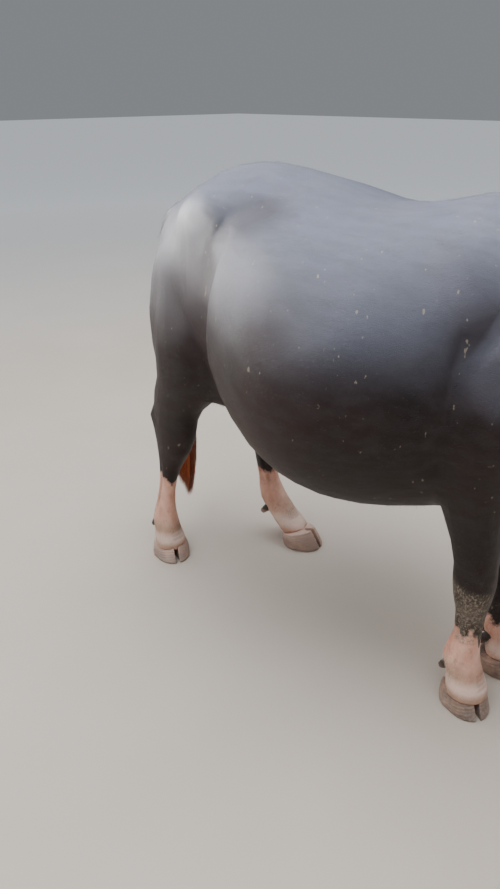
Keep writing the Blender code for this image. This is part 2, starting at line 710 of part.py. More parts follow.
def claw_rings(inner_side):
    """Rings of one claw, in a foot's own frame. inner_side is 1 where the other claw lies towards -Y."""
    rings = []
    for height, size, back in ((0, 0.97, 0), (0.008, 1, 0), (0.034, 0.93, 0.008), (1, 0.78, 0.021)):
        ring = []
        for k in range(12):
            angle = math.pi * (k + 0.5) / 12
            c = math.cos(angle)
            along = c * HOOF_LENGTH / 2 * size - back
            bulge = math.sin(angle) ** 0.75 * CLAW_WIDTH
            toe_in = 0.010 * max(c, 0) ** 2
            across = CLAW_SPACE / 2 + (bulge * (0.90 if c > 0 else 1) - toe_in) * size + 0.004 * (1 - size)
            ring.append((along, across))
        for c in (-0.80, 0.0, 0.72):
            ring.append((c * HOOF_LENGTH / 2 * size - back, CLAW_SPACE / 2 + 0.0006 + 0.010 * max(c, 0) ** 3))
        top = CORONET_HEIGHT
        rings.append([
            (x, y * inner_side, (top + CORONET_SLOPE * x) if height == 1 else height) for x, y in ring
        ])
    return rings


def make_hooves(foot, parts):
    foot_x, foot_y, side, toe_out = FEET[foot][:4]
    place = Matrix.Translation((foot_x + 0.006, foot_y, 0)) @ Matrix.Rotation(math.radians(side * toe_out), 4, "Z")
    hooves = {}
    for claw, way in (("outer", side), ("inner", -side)):
        name = f"hoof_{foot}_{claw}"
        hooves[name] = loft(name, claw_rings(way), parts, place)
    return hooves


def make_lower_leg(foot, parts):
    """The leg from its part height down to the pastern."""
    rows = cut_slices(FEET[foot][4], FEET[foot][4][-1][0], LEG_PART_HEIGHT[foot[:4]] - GAP)
    return loft(f"leg_{foot}_lower", leg_rings(foot, rows, 16), parts)


def make_dewclaws(foot, leg, parts, cutters):
    side, toe_out = FEET[foot][2:4]
    height = DEWCLAW_HEIGHT[foot]
    turn = Matrix.Rotation(math.radians(side * toe_out * leg_turn(foot, height)**2), 4, "Z")
    place = Matrix.Translation(leg_middle(foot, height, DEWCLAW_SETBACK[foot], 0)) @ turn
    claws = {}
    for label, way in (("outer", side), ("inner", -side)):
        name = f"dewclaw_{foot}_{label}"
        bm = bmesh.new()
        bmesh.ops.create_cone(bm, cap_ends=True, segments=8, radius1=0.0180, radius2=0.0105, depth=0.044)
        tilt = Matrix.Rotation(math.radians(-136), 4, "Y")
        splay = Matrix.Rotation(math.radians(-way * 12), 4, "Z")
        spot = Matrix.Translation((-0.048, way * 0.027, -0.004))
        bmesh.ops.transform(bm, matrix=place @ spot @ splay @ tilt, verts=bm.verts)
        claws[name] = seat(object_from(bm, name, parts), [leg], cutters)
    return claws


def tail_path():
    """Middle line of the tail: off the rump, over the back and down between the hind legs."""
    return between((
        (-0.560, 0, 1.205), (-0.642, 0, 1.200), (-0.700, 0, 1.140), (-0.722, 0, 1.040), (-0.720, 0, 0.900),
        (-0.708, 0, 0.760), (-0.700, 0, 0.620), (-0.692, 0, 0.480), (-0.687, 0, 0.340), (-0.685, 0, 0.105),
    ), 3)


def tube_rings(points, sizes, sides, flatten=1.0):
    """Rings square to a path that stays near a level y, each with its own radius."""
    rings = []
    for i, (point, size) in enumerate(zip(points, sizes)):
        before = Vector(points[max(i - 1, 0)])
        after = Vector(points[min(i + 1, len(points) - 1)])
        along = (after - before).normalized()
        across = Vector((0, 1, 0))
        other = along.cross(across).normalized()
        rings.append([
            Vector(point) + across * size * math.cos(2 * math.pi * k / sides)
            + other * size * flatten * math.sin(2 * math.pi * k / sides)
            for k in range(sides)
        ])
    return rings


def tail_radius(z):
    low = SWITCH_TOP
    share = min(max((z - low) / (1.2 - low), 0), 1)
    return TAIL_END_RADIUS + (TAIL_ROOT_RADIUS - TAIL_END_RADIUS) * share**1.2


def make_tail(torso, legs, parts, cutters):
    """The fleshy tail in two lengths, cut at mid height."""
    path = [p for p in tail_path() if p[2] > SWITCH_TOP + GAP]
    path.append((path[-1][0] + 0.004, 0, SWITCH_TOP + GAP))
    nodes = {}
    upper = [p for p in path if p[2] > TAIL_PART_HEIGHT + GAP]
    lower = [p for p in path if p[2] < TAIL_PART_HEIGHT - GAP]
    t = (TAIL_PART_HEIGHT - lower[0][2]) / (upper[-1][2] - lower[0][2])
    x_cut = lower[0][0] + (upper[-1][0] - lower[0][0]) * t
    upper.append((x_cut, 0, TAIL_PART_HEIGHT + GAP / 2))
    lower.insert(0, (x_cut, 0, TAIL_PART_HEIGHT - GAP / 2))
    for name, points in (("tail_upper", upper), ("tail_lower", lower)):
        rings = tube_rings(points, [tail_radius(p[2]) for p in points], 12)
        for end in (0, -1):
            if abs(points[end][2] - TAIL_PART_HEIGHT) < GAP or points[end][2] < SWITCH_TOP + 0.01:
                rings[end] = [(x, y, points[end][2]) for x, y, z in rings[end]]
        nodes[name] = loft(name, rings, parts)
    seat(nodes["tail_upper"], [torso] + legs, cutters)
    return nodes


def make_switch(parts, lumps):
    """The tail's brush of long hair: a short core with flat tapered locks that hang, bend and overlap."""
    rng = random.Random(7)
    path = [p for p in tail_path() if p[2] <= SWITCH_TOP]
    path.insert(0, (path[0][0] - 0.002, 0, SWITCH_TOP))
    core_points = [p for p in path if p[2] > 0.36]
    sizes = [0.014 + 0.010 * math.sin(math.pi * i / (len(core_points) - 1)) for i in range(len(core_points))]
    rings = tube_rings(core_points, sizes, 10)
    rings[0] = [(x, y, SWITCH_TOP) for x, y, z in rings[0]]
    core = loft("tail_switch", rings, parts)

    def middle(z):
        for upper, lower in zip(path, path[1:]):
            if lower[2] <= z <= upper[2]:
                t = (upper[2] - z) / (upper[2] - lower[2])
                return upper[0] + (lower[0] - upper[0]) * t
        return path[-1][0]

    locks = []
    for i in range(LOCK_COUNT):
        turn = math.radians(137.5 * i)
        share = i / (LOCK_COUNT - 1)
        root_z = SWITCH_TOP - 0.030 - 0.215 * share
        tip_z = max(SWITCH_BOTTOM, SWITCH_BOTTOM + (1 - share) * 0.26 + rng.uniform(-0.03, 0.03))
        bulge = SWITCH_SPREAD * rng.uniform(0.8, 1.05)
        end_spread = rng.uniform(0.2, 0.8) * SWITCH_SPREAD
        drift = rng.uniform(-0.25, 0.25)
        rings = []
        steps = 4
        for k in range(steps + 1):
            t = k / steps
            z = root_z + (tip_z - root_z) * t
            if k == 0:
                reach = 0.004
            else:
                reach = 0.012 + (bulge - 0.012) * math.sin(math.pi * min(t * 1.1, 1) / 2)
                reach += (end_spread - bulge) * t**2
            angle = turn + drift * t
            out = Vector((math.cos(angle), math.sin(angle), 0))
            side = Vector((-math.sin(angle), math.cos(angle), 0))
            centre = Vector((middle(z), 0, z)) + out * reach
            taper = (1 - t**1.6) * 0.93 + 0.07
            rings.append([
                centre + side * LOCK_WIDTH / 2 * taper * c + out * LOCK_THICKNESS / 2 * taper * s
                for c, s in ((1, 0), (0, 1), (-1, 0), (0, -1))
            ])
        locks.append(loft("lock", rings, lumps))
    boolean(core, locks, "UNION", "MANIFOLD")
    for lock in locks:
        bpy.data.objects.remove(lock, do_unlink=True)
    return largest_piece(core)


def make_udder(hosts, parts, lumps, cutters):
    """A small resting udder with four teats, tucked between the thighs."""
    bag = ball("udder", (-0.400, 0, 0.745), (0.150, 0.105, 0.115), 10, parts, (14, 9))
    teats = []
    for x, z in ((-0.455, 0.650), (-0.365, 0.640)):
        for side in (1, -1):
            bm = bmesh.new()
            bmesh.ops.create_cone(bm, cap_ends=True, segments=7, radius1=TEAT_RADIUS * 0.7,
                                  radius2=TEAT_RADIUS, depth=TEAT_LENGTH)
            bmesh.ops.translate(bm, verts=bm.verts, vec=(x, side * 0.045, z - TEAT_LENGTH / 3))
            teats.append(object_from(bm, "teat", lumps))
    boolean(bag, teats, "UNION")
    for teat in teats:
        bpy.data.objects.remove(teat, do_unlink=True)
    return seat(bag, hosts, cutters)


def paint(nodes, materials):
    for name, obj in nodes.items():
        if name.startswith(("hoof", "dewclaw")):
            finish = "hoof"
        elif name.startswith("horn"):
            finish = "horn"
        elif name.startswith("eye"):
            finish = "eye"
        elif name == "tail_switch":
            finish = "tail_hair"
        elif name.endswith("_lower") and name.startswith("leg"):
            finish = "stocking"
        else:
            finish = "hide"
        obj.data.materials.clear()
        obj.data.materials.append(materials[finish])


def centre_on_origin(nodes):
    """Moves the whole animal so that the middle of its box, at floor level, is the origin."""
    corners = [v.co for obj in nodes.values() for v in obj.data.vertices]
    middle = [(min(c[i] for c in corners) + max(c[i] for c in corners)) / 2 for i in (0, 1)]
    floor = min(c[2] for c in corners)
    for obj in nodes.values():
        obj.data.transform(Matrix.Translation((-middle[0], -middle[1], -floor)))


def main():
    clear_scene()
    parts = new_collection("buffalo")
    cutters = new_collection("cutters")
    lumps = new_collection("lumps")
    materials = make_materials()

    body_flesh = make_body_flesh(lumps)
    head_flesh = make_head_flesh(lumps)
    nodes = make_body_nodes(body_flesh, parts, cutters)
    eyes = make_eyes(parts)
    nodes.update(eyes)
    nodes["head"] = make_head(head_flesh, eyes, parts, cutters)
    for name, side in (("left", 1), ("right", -1)):
        horn = make_horn("horn_" + name, side, parts)
        nodes["horn_" + name] = seat(horn, [nodes["head"], nodes["neck"]], cutters)
        ear = make_ear("ear_" + name, side, parts, lumps)
        nodes["ear_" + name] = seat(ear, [nodes["head"]], cutters)
    for foot in FEET:
        hooves = make_hooves(foot, parts)
        lower = make_lower_leg(foot, parts)
        nodes.update(make_dewclaws(foot, lower, parts, cutters))
        nodes.update(hooves)
        nodes[lower.name] = seat(lower, list(hooves.values()), cutters)
    upper_hind = [nodes["leg_hind_left_upper"], nodes["leg_hind_right_upper"]]
    nodes.update(make_tail(nodes["torso"], upper_hind, parts, cutters))
    nodes["tail_switch"] = make_switch(parts, lumps)
    nodes["udder"] = make_udder([nodes["torso"]] + upper_hind, parts, lumps, cutters)

    for obj in (body_flesh, head_flesh):
        bpy.data.objects.remove(obj, do_unlink=True)
    paint(nodes, materials)
    centre_on_origin(nodes)
    for node in nodes.values():
        node.data.shade_smooth()
        node.data.set_sharp_from_angle(angle=math.radians(40))


main()
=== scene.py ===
import json
import math
import random

import bmesh
import bpy
import numpy as np
from mathutils import Matrix, Vector
from mathutils.bvhtree import BVHTree

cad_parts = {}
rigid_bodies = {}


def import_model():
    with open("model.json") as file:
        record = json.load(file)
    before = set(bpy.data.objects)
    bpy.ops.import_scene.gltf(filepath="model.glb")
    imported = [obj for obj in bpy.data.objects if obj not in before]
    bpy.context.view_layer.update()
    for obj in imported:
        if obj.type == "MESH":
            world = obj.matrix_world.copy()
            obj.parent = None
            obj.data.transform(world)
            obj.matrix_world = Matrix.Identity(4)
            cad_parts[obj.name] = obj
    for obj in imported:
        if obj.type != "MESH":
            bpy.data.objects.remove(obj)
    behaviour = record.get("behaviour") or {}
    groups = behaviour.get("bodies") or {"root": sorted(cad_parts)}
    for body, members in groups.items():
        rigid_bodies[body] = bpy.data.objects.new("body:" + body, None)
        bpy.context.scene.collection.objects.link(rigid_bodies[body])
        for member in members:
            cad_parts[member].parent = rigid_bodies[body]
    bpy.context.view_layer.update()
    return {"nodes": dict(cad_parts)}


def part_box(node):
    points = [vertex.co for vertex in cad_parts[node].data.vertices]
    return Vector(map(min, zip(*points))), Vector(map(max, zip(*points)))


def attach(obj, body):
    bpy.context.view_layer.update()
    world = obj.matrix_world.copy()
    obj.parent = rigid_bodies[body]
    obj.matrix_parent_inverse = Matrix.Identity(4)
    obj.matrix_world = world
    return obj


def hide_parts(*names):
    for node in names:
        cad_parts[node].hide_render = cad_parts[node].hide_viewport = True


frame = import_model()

scene = bpy.context.scene
nodes = frame["nodes"]

# the head's own frame, as in the solids: down the face, out to the side, out of the forehead
headPlan = {"pollX": 1.15, "pollHeight": 1.40, "facePitch": 45.0, "eye": (0.188, 0.0915, -0.036),
            "eyeRadius": 0.021}
eyeAlong, eyeOut, eyeRise = headPlan["eye"]
eyeLow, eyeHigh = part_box("eye_left")
headTurn = Matrix.Rotation(math.radians(headPlan["facePitch"]), 4, "Y")
headPlace = Matrix.Translation((headPlan["pollX"], 0, headPlan["pollHeight"])) @ headTurn
# from the sketch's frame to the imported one
shiftX = (eyeLow.x + eyeHigh.x) / 2 - (headPlace @ Vector(headPlan["eye"])).x
headPlace = Matrix.Translation((shiftX, 0, 0)) @ headPlace
headBack = np.array(headPlace.inverted())
feet = {"hind_right": (-0.560, -0.192), "hind_left": (-0.252, 0.198),
        "fore_right": (0.592, -0.104), "fore_left": (0.606, 0.110)}
sides = (("left", 1), ("right", -1))


def bodyPlace(x, y, z):
    return np.array((x + shiftX, y, z))


def bodyAxes(points):  # along the body, sideways and up, in the sketch's frame
    return points[:, 0] - shiftX, points[:, 1], points[:, 2]


def headSpot(along, out, rise):
    return np.array(headPlace @ Vector((along, out, rise)))


def toHead(points):
    return points @ headBack[:3, :3].T + headBack[:3, 3]


def linkObject(name, data):
    obj = bpy.data.objects.new(name, data)
    scene.collection.objects.link(obj)
    return obj


def dropObject(obj):
    mesh = obj.data
    bpy.data.objects.remove(obj)
    bpy.data.meshes.remove(mesh)


def meshFrom(bm, name):
    mesh = bpy.data.meshes.new(name)
    bm.to_mesh(mesh)
    bm.free()
    return mesh


def modified(obj, kind, **values):  # adds a modifier with these values and applies it
    modifier = obj.modifiers.new(kind.lower(), kind)
    for key, value in values.items():
        setattr(modifier, key, value)
    graph = bpy.context.evaluated_depsgraph_get()
    mesh = bpy.data.meshes.new_from_object(obj.evaluated_get(graph))
    obj.modifiers.clear()
    old = obj.data
    obj.data = mesh
    bpy.data.meshes.remove(old)
    return obj


def readVectors(items, field):
    flat = np.empty(len(items) * 3, dtype=np.float32)
    items.foreach_get(field, flat)
    return flat.reshape(-1, 3).astype(np.float64)


def writePoints(mesh, points):
    mesh.vertices.foreach_set("co", points.astype(np.float32).ravel())
    mesh.update()


def storeField(mesh, name, values):  # a number or a colour at each point
    kind, field = ("FLOAT", "value") if values.ndim == 1 else ("FLOAT_COLOR", "color")
    layer = mesh.attributes.new(name, kind, "POINT")
    layer.data.foreach_set(field, values.astype(np.float32).ravel())


def mergedCopy(bm, name, grow=0.0):  # adds a node's mesh to a bmesh, merged and pushed out a little
    part = bmesh.new()
    part.from_mesh(nodes[name].data)
    bmesh.ops.remove_doubles(part, verts=part.verts, dist=1e-6)
    part.normal_update()
    for vert in part.verts:
        vert.co += vert.normal * grow
    mesh = meshFrom(part, "loose")
    bm.from_mesh(mesh)
    bpy.data.meshes.remove(mesh)


def setGroup(obj, name, weights, steps=40):  # a vertex group with weights in small steps
    group = obj.vertex_groups.new(name=name)
    levels = np.round(np.clip(weights, 0, 1) * steps).astype(int)
    for level in np.unique(levels):
        group.add(np.nonzero(levels == level)[0].tolist(), level / steps, "REPLACE")


def smoothStep(low, high, value):
    t = np.clip((value - low) / (high - low), 0, 1)
    return t * t * (3 - 2 * t)


# skin: one surface over all flesh
skinPlan = {"voxel": 0.0029, "softRounds": 150,
            "triangles": 190000, "grow": 0.0012, "earGrow": 0.0022, "headGrow": 0.0003}
lidPlan = {"outer": 0.0250, "thick": 0.0050, "long": 0.0188, "upper": 0.0102, "lower": 0.0088,
           "tilt": 10.0, "depth": 0.006}
fleshNodes = ["torso", "neck", "head", "udder", "tail_upper", "tail_lower", "ear_left", "ear_right"]
fleshNodes += [f"leg_{foot}_{part}" for foot in feet for part in ("upper", "lower")]


def lidShell(side):  # a shell round the eye, open along an almond slit
    bm = bmesh.new()
    bmesh.ops.create_uvsphere(bm, u_segments=80, v_segments=60, radius=lidPlan["outer"])
    cosine, sine = math.cos(math.radians(lidPlan["tilt"])), math.sin(math.radians(lidPlan["tilt"]))
    opened = []
    for face in bm.faces:
        spot = face.calc_center_median()
        along = spot.x * cosine + spot.z * sine
        rise = spot.z * cosine - spot.x * sine
        room = max(0, 1 - (along / lidPlan["long"]) ** 2) ** 0.7
        height = (lidPlan["upper"] if rise > 0 else lidPlan["lower"]) * room
        depth = spot.y * side
        if depth < -lidPlan["depth"] or (depth > 0 and abs(rise) < height):
            opened.append(face)
    bmesh.ops.delete(bm, geom=opened, context="FACES")
    shell = linkObject("lids", meshFrom(bm, "lids"))
    modified(shell, "SOLIDIFY", thickness=lidPlan["thick"], offset=-1)
    shell.data.transform(headPlace @ Matrix.Translation((eyeAlong, side * eyeOut, eyeRise)))
    return shell


def buildSkinShape():
    bm = bmesh.new()
    for _, side in sides:
        shell = lidShell(side)
        bm.from_mesh(shell.data)
        dropObject(shell)
    for name in fleshNodes:
        kind = "earGrow" if name.startswith("ear") else "headGrow" if name == "head" else "grow"
        mergedCopy(bm, name, skinPlan[kind])
    return linkObject("skin", meshFrom(bm, "skin"))


def softness(points):  # how much each point is smoothed: the body fully, legs less, the head and ears least
    x, y, z = bodyAxes(points)
    aside = np.abs(y)
    along, out, rise = toHead(points).T
    onHead = smoothStep(-0.10, 0.02, along) * smoothStep(0.9, 1.0, x)
    onTail = smoothStep(-0.665, -0.70, x) * smoothStep(0.06, 0.04, aside) * smoothStep(1.22, 1.15, z)
    onUdder = smoothStep(0.72, 0.68, z) * smoothStep(0.13, 0.11, aside) * smoothStep(-0.25, -0.30, x)
    onEar = smoothStep(0.112, 0.125, aside) * smoothStep(0.98, 1.02, x)
    fromEye = np.stack([along - eyeAlong, np.abs(out) - eyeOut, rise - eyeRise], axis=1)
    return np.min([
        1 - 0.86 * onHead,
        1 - 0.55 * smoothStep(0.66, 0.50, z) - 0.25 * smoothStep(0.40, 0.25, z),
        1 - 0.80 * onTail,
        1 - 0.85 * onUdder,
        1 - 0.93 * (onHead * smoothStep(0.38, 0.44, along)),  # muzzle
        1 - 0.975 * smoothStep(0.046, 0.030, np.linalg.norm(fromEye, axis=1)),
        1 - 0.97 * onEar,
    ], axis=0)


def pathDistance(points, path):  # distance to a path, and how far along it the nearest place is, from 0 to 1
    path = np.asarray(path, dtype=float)
    lengths = np.linalg.norm(path[1:] - path[:-1], axis=1)
    total = lengths.sum()
    best = np.full(len(points), 1e9)
    where = np.zeros(len(points))
    done = 0.0
    for a, b, length in zip(path[:-1], path[1:], lengths):
        t = np.clip(((points - a) @ (b - a)) / length**2, 0, 1)
        away = np.linalg.norm(points - (a + t[:, None] * (b - a)), axis=1)
        closer = away < best
        best[closer] = away[closer]
        where[closer] = ((done + t * length) / total)[closer]
        done += length
    return best, where


def pathOnSkin(tree, spots, step=0.008):  # a path brought onto the skin in short steps
    dense = [spots[0]]
    for a, b in zip(spots[:-1], spots[1:]):
        count = max(1, int(np.linalg.norm(b - a) / step))
        dense += [a + (b - a) * k / count for k in range(1, count + 1)]
    return np.array([tree.find_nearest(Vector(spot))[0] for spot in dense])


# moves points along their normals near a path on the skin, and notes the folds, where shade is painted later
def carve(points, normals, tree, spots, width, depth, shade):
    path = pathOnSkin(tree, spots)
    low, high = path.min(axis=0) - 3 * width, path.max(axis=0) + 3 * width
    near = np.nonzero(np.all((points > low) & (points < high), axis=1))[0]
    if not len(near):
        return
    if len(path) == 1:
        amount = np.exp(-(np.linalg.norm(points[near] - path[0], axis=1) / width) ** 2)
    else:
        away, where = pathDistance(points[near], path)
        ends = np.clip(np.sin(np.pi * np.clip(where, 0.02, 0.98)) * 2.2, 0, 1)
        amount = np.exp(-(away / width) ** 2) * ends
    points[near] += normals[near] * (amount * depth)[:, None]
    if depth < 0 and width < 0.02:
        shade[near] = np.maximum(shade[near], amount)


# strokes on the right side, mirrored to the left: path, width, depth (out is positive)
bodyStrokes = [
    ([(-0.30, -0.235, 1.265)], 0.085, 0.006),  # hook bone
    ([(-0.615, -0.115, 1.205)], 0.065, -0.020),  # round of the rump
    ([(-0.195, -0.243, 1.245), (-0.172, -0.293, 1.182), (-0.181, -0.323, 1.113), (-0.185, -0.340, 1.034),
      (-0.220, -0.310, 0.95), (-0.260, -0.27, 0.87)], 0.024, -0.011),  # groove of the flank
    ([(-0.245, -0.262, 1.19), (-0.210, -0.315, 1.10), (-0.212, -0.325, 0.99), (-0.245, -0.290, 0.92),
      (-0.285, -0.25, 0.84)], 0.045, -0.011),
    ([(-0.205, -0.243, 1.275), (-0.222, -0.262, 1.225), (-0.232, -0.285, 1.165), (-0.235, -0.30, 1.11)],
     0.012, -0.0030),  # folds of the hip
    ([(-0.222, -0.240, 1.275), (-0.236, -0.262, 1.225), (-0.245, -0.280, 1.165), (-0.247, -0.29, 1.12)],
     0.010, 0.0024),
    ([(-0.238, -0.238, 1.275), (-0.251, -0.258, 1.225), (-0.260, -0.272, 1.170)], 0.011, -0.0020),
    ([(-0.135, -0.22, 1.27)], 0.070, -0.010),  # hollow of the flank
    ([(-0.050, -0.23, 1.27)], 0.070, -0.007),
    ([(0.590, -0.235, 1.16), (0.559, -0.262, 1.094), (0.539, -0.281, 1.058), (0.528, -0.296, 1.020),
      (0.530, -0.307, 0.97), (0.531, -0.313, 0.92), (0.526, -0.305, 0.84), (0.510, -0.27, 0.74)],
     0.030, -0.018),  # groove behind the shoulder
    ([(0.63, -0.27, 1.00), (0.63, -0.28, 0.89), (0.60, -0.26, 0.79)], 0.055, 0.012),  # upper arm
    ([(0.52, -0.20, 0.70), (0.47, -0.16, 0.66), (0.46, -0.10, 0.66)], 0.020, -0.009),  # fold of the elbow
    ([(0.66, -0.25, 1.22), (0.72, -0.24, 1.08), (0.76, -0.20, 0.94)], 0.040, -0.009),  # front of the shoulder
    ([(0.60, -0.17, 1.30), (0.64, -0.22, 1.17), (0.68, -0.25, 1.04)], 0.040, 0.005),  # shoulder blade
    ([(-0.52, -0.24, 1.12), (-0.50, -0.27, 0.98), (-0.52, -0.27, 0.82), (-0.55, -0.24, 0.68)],
     0.030, -0.007),  # thigh
    ([(-0.355, -0.240, 1.24), (-0.345, -0.27, 1.14), (-0.320, -0.29, 1.02)], 0.016, -0.0038),
    ([(-0.425, -0.225, 1.20), (-0.43, -0.25, 1.12), (-0.40, -0.28, 1.00), (-0.38, -0.28, 0.90)],
     0.018, -0.0035),
    ([(0.80, -0.13, 1.33), (0.80, -0.16, 1.22), (0.80, -0.15, 1.08), (0.84, -0.08, 0.98)],
     0.016, -0.0045),  # folds of the neck
    ([(0.86, -0.12, 1.34), (0.86, -0.145, 1.24), (0.87, -0.14, 1.12), (0.90, -0.07, 1.02)], 0.014, -0.0050),
    ([(0.92, -0.10, 1.35), (0.92, -0.125, 1.26), (0.93, -0.12, 1.16), (0.96, -0.06, 1.07)], 0.013, -0.0050),
    ([(0.98, -0.09, 1.36), (0.98, -0.11, 1.28), (0.99, -0.11, 1.20), (1.01, -0.05, 1.11)], 0.012, -0.0050),
    ([(0.84, -0.10, 1.10), (0.92, -0.09, 1.14), (1.00, -0.09, 1.20)], 0.030, -0.008),  # groove of the throat
    ([(-0.575, -0.11, 1.10), (-0.60, -0.09, 0.98), (-0.59, -0.07, 0.86)], 0.022, -0.010),  # beside the tail
]
headStrokes = [
    ([(0.150, 0.098, -0.010), (0.188, 0.104, -0.004), (0.228, 0.096, -0.012)], 0.006, -0.0040),  # over the eye
    ([(0.146, 0.100, -0.050), (0.186, 0.106, -0.071), (0.228, 0.096, -0.056)], 0.006, -0.0035),  # under the eye
    ([(0.222, 0.098, -0.046), (0.255, 0.086, -0.056), (0.290, 0.076, -0.062)], 0.007, -0.0035),  # tear line
    ([(0.225, 0.092, -0.085), (0.280, 0.082, -0.092), (0.340, 0.072, -0.092)], 0.012, 0.0050),  # cheekbone
    ([(0.300, 0.062, -0.030), (0.360, 0.056, -0.030), (0.430, 0.052, -0.030)], 0.016, -0.0040),  # nose's side
    ([(0.350, 0.073, -0.100), (0.395, 0.071, -0.108), (0.440, 0.072, -0.115), (0.485, 0.070, -0.118),
      (0.515, 0.056, -0.118), (0.530, 0.028, -0.117), (0.535, -0.002, -0.117)], 0.0050, -0.0060),  # mouth
    ([(0.360, 0.073, -0.090), (0.440, 0.074, -0.102), (0.490, 0.070, -0.104)], 0.010, 0.0025),  # upper lip
    ([(0.400, 0.068, -0.124), (0.450, 0.068, -0.130), (0.490, 0.060, -0.132)], 0.010, 0.0030),  # lower lip
    ([(0.462, 0.078, -0.030), (0.484, 0.076, -0.032), (0.508, 0.062, -0.038), (0.526, 0.044, -0.044)],
     0.007, 0.0045),  # rims of the nostril
    ([(0.470, 0.080, -0.052), (0.492, 0.072, -0.070), (0.516, 0.056, -0.078), (0.530, 0.040, -0.074)],
     0.007, 0.0035),
    ([(0.020, 0.060, 0.016), (0.050, 0.070, 0.014), (0.085, 0.074, 0.008)], 0.022, -0.0040),  # temple
    ([(0.060, 0.108, -0.110), (0.110, 0.108, -0.140), (0.160, 0.096, -0.170)], 0.030, 0.0050),  # cheek
    ([(0.165, 0.100, -0.115), (0.215, 0.092, -0.125), (0.260, 0.080, -0.130)], 0.014, -0.0035),
]
for k in range(5):  # pleats of the nose
    path = [(0.290 + 0.031 * k + 0.006 * math.sin(3 * k), 0.026, 0.0), (0.298 + 0.030 * k, 0.047, -0.014),
            (0.290 + 0.030 * k, 0.062, -0.040)]
    headStrokes.append((path, 0.0060, -0.0007 - 0.0003 * math.sin(2.3 * k)))
for k in range(4):  # pleats of the brow
    path = [(0.116 + 0.017 * k, 0.056 + 0.004 * k, 0.012), (0.126 + 0.014 * k, 0.076, 0.002),
            (0.140 + 0.012 * k, 0.090, -0.008)]
    headStrokes.append((path, 0.0055, -0.0010 - 0.0004 * math.sin(1.7 * k)))
nostrilPath = [(0.523, 0.044, -0.063), (0.503, 0.056, -0.057), (0.483, 0.069, -0.046)]
# creases before and behind the fetlock: reach at the edge and the middle, height there, width, depth
fetlockCreases = [(0.050, 0.058, 0.0, 0.004, 0.0040, -0.0018),
                  (-0.062, -0.066, -0.010, -0.014, 0.0045, -0.0022)]


def legStrokes():  # hollow over the hock, tendons and fetlock creases, from each foot's own place
    strokes = []
    for foot, (x, y) in feet.items():
        lean = -0.190 if foot == "hind_left" else 0
        for _, side in sides:
            edge, hollow = y + side * 0.030, y + side * 0.045
            if foot.startswith("hind"):
                cannon = [(x + lean + 0.010, edge, 0.40), (x + lean * 0.85 - 0.012, edge, 0.30),
                          (x + lean * 0.60 - 0.030, edge, 0.20)]
                strokes.append(([(x + lean * 1.2, hollow, 0.66), (x + lean * 1.1 - 0.010, hollow, 0.58),
                                 (x + lean - 0.015, hollow, 0.51)], 0.020, -0.010))
            else:
                cannon = [(x - 0.032, edge, 0.34), (x - 0.034, edge, 0.27), (x - 0.038, edge, 0.20)]
            strokes.append((cannon, 0.008, -0.0045))
        if foot == "hind_left":  # the far shank, broad below the hock
            strokes.append(([(x - 0.150, y - 0.01, 0.42), (x - 0.140, y - 0.01, 0.34),
                             (x - 0.135, y - 0.01, 0.26)], 0.036, 0.010))
        fetlock = x + lean * 0.52
        for k in range(4):
            z = 0.088 + 0.014 * k
            for reach, middle, low, lowMiddle, width, depth in fetlockCreases:
                strokes.append(([(fetlock + reach, y - 0.03, z + low), (fetlock + middle, y, z + lowMiddle),
                                 (fetlock + reach, y + 0.03, z + low)], width, depth))
    return strokes


def shapeSkin(skin):  # sculpts the skin and returns how deep in a fold each point lies
    tree = BVHTree.FromObject(skin, bpy.context.evaluated_depsgraph_get())
    points = readVectors(skin.data.vertices, "co")
    normals = readVectors(skin.data.vertices, "normal")
    shade = np.zeros(len(points))
    for place, strokes in ((bodyPlace, bodyStrokes), (headSpot, headStrokes)):
        for path, width, depth in strokes:
            for _, side in sides:
                spots = [place(a, b * side, c) for a, b, c in path]
                carve(points, normals, tree, spots, width, depth, shade)
    for path, width, depth in legStrokes():
        carve(points, normals, tree, [bodyPlace(*spot) for spot in path], width, depth, shade)
    # painted shade inside the nostrils, carried with the folds
    for _, side in sides:
        away, _ = pathDistance(points, [headSpot(a, side * b, c) for a, b, c in nostrilPath])
        shade = np.maximum(shade, 1.6 * smoothStep(0.015, 0.009, away))
    # slow swells, so that the barrel isn't a plain egg
    x, y, z = bodyAxes(points)
    swell = np.sin(7.3 * x + 2.1 * z) * np.sin(6.1 * z + 1.7 * x + np.sign(y) * 0.6) * 0.0035
    swell += np.sin(15.1 * x - 9.7 * z) * np.sin(11.9 * z + 4.0 * x) * 0.0016
    swell *= smoothStep(0.62, 0.80, z) * smoothStep(0.95, 0.75, x)
    writePoints(skin.data, points + normals * swell[:, None])
    return shade


# markings: pale stockings and face, painted shade in folds, dust with a painted highlight, a painted sheen on
# the upper hide, and how much light the hide throws back
markPlan = {
    # the paler or darker amounts paint a highlight on the pin bone and shade on the flank; glossier or duller
    # scales the shine
    "paintedLightAndGlossSpots": [  # place, radius, paler or darker, glossier or duller, on both sides
        ((-0.365, -0.240, 1.225), 0.078, 0.90, 2.20, True),
        ((0.080, -0.405, 1.045), 0.065, -0.40, -0.60, False),
        ((0.135, -0.382, 1.095), 0.055, -0.35, -0.50, False),
        ((-0.11, -0.222, 1.270), 0.075, -1.00, -0.70, True),
        ((-0.22, -0.290, 1.120), 0.060, -0.40, -0.40, False),
    ],
    "stockings": {"hind_right": 0.350, "hind_left": 0.252, "fore_right": 0.262, "fore_left": 0.180},
    "darkFront": {"hind_right": 0.060, "hind_left": 0.012, "fore_right": 0.035, "fore_left": 0.012},
    "edge": 0.045,
    "blazeAlong": [0.03, 0.07, 0.12, 0.20, 0.30, 0.40, 0.46, 0.54],
    "blazeWidth": [0.000, 0.034, 0.046, 0.030, 0.020, 0.026, 0.046, 0.052],
}


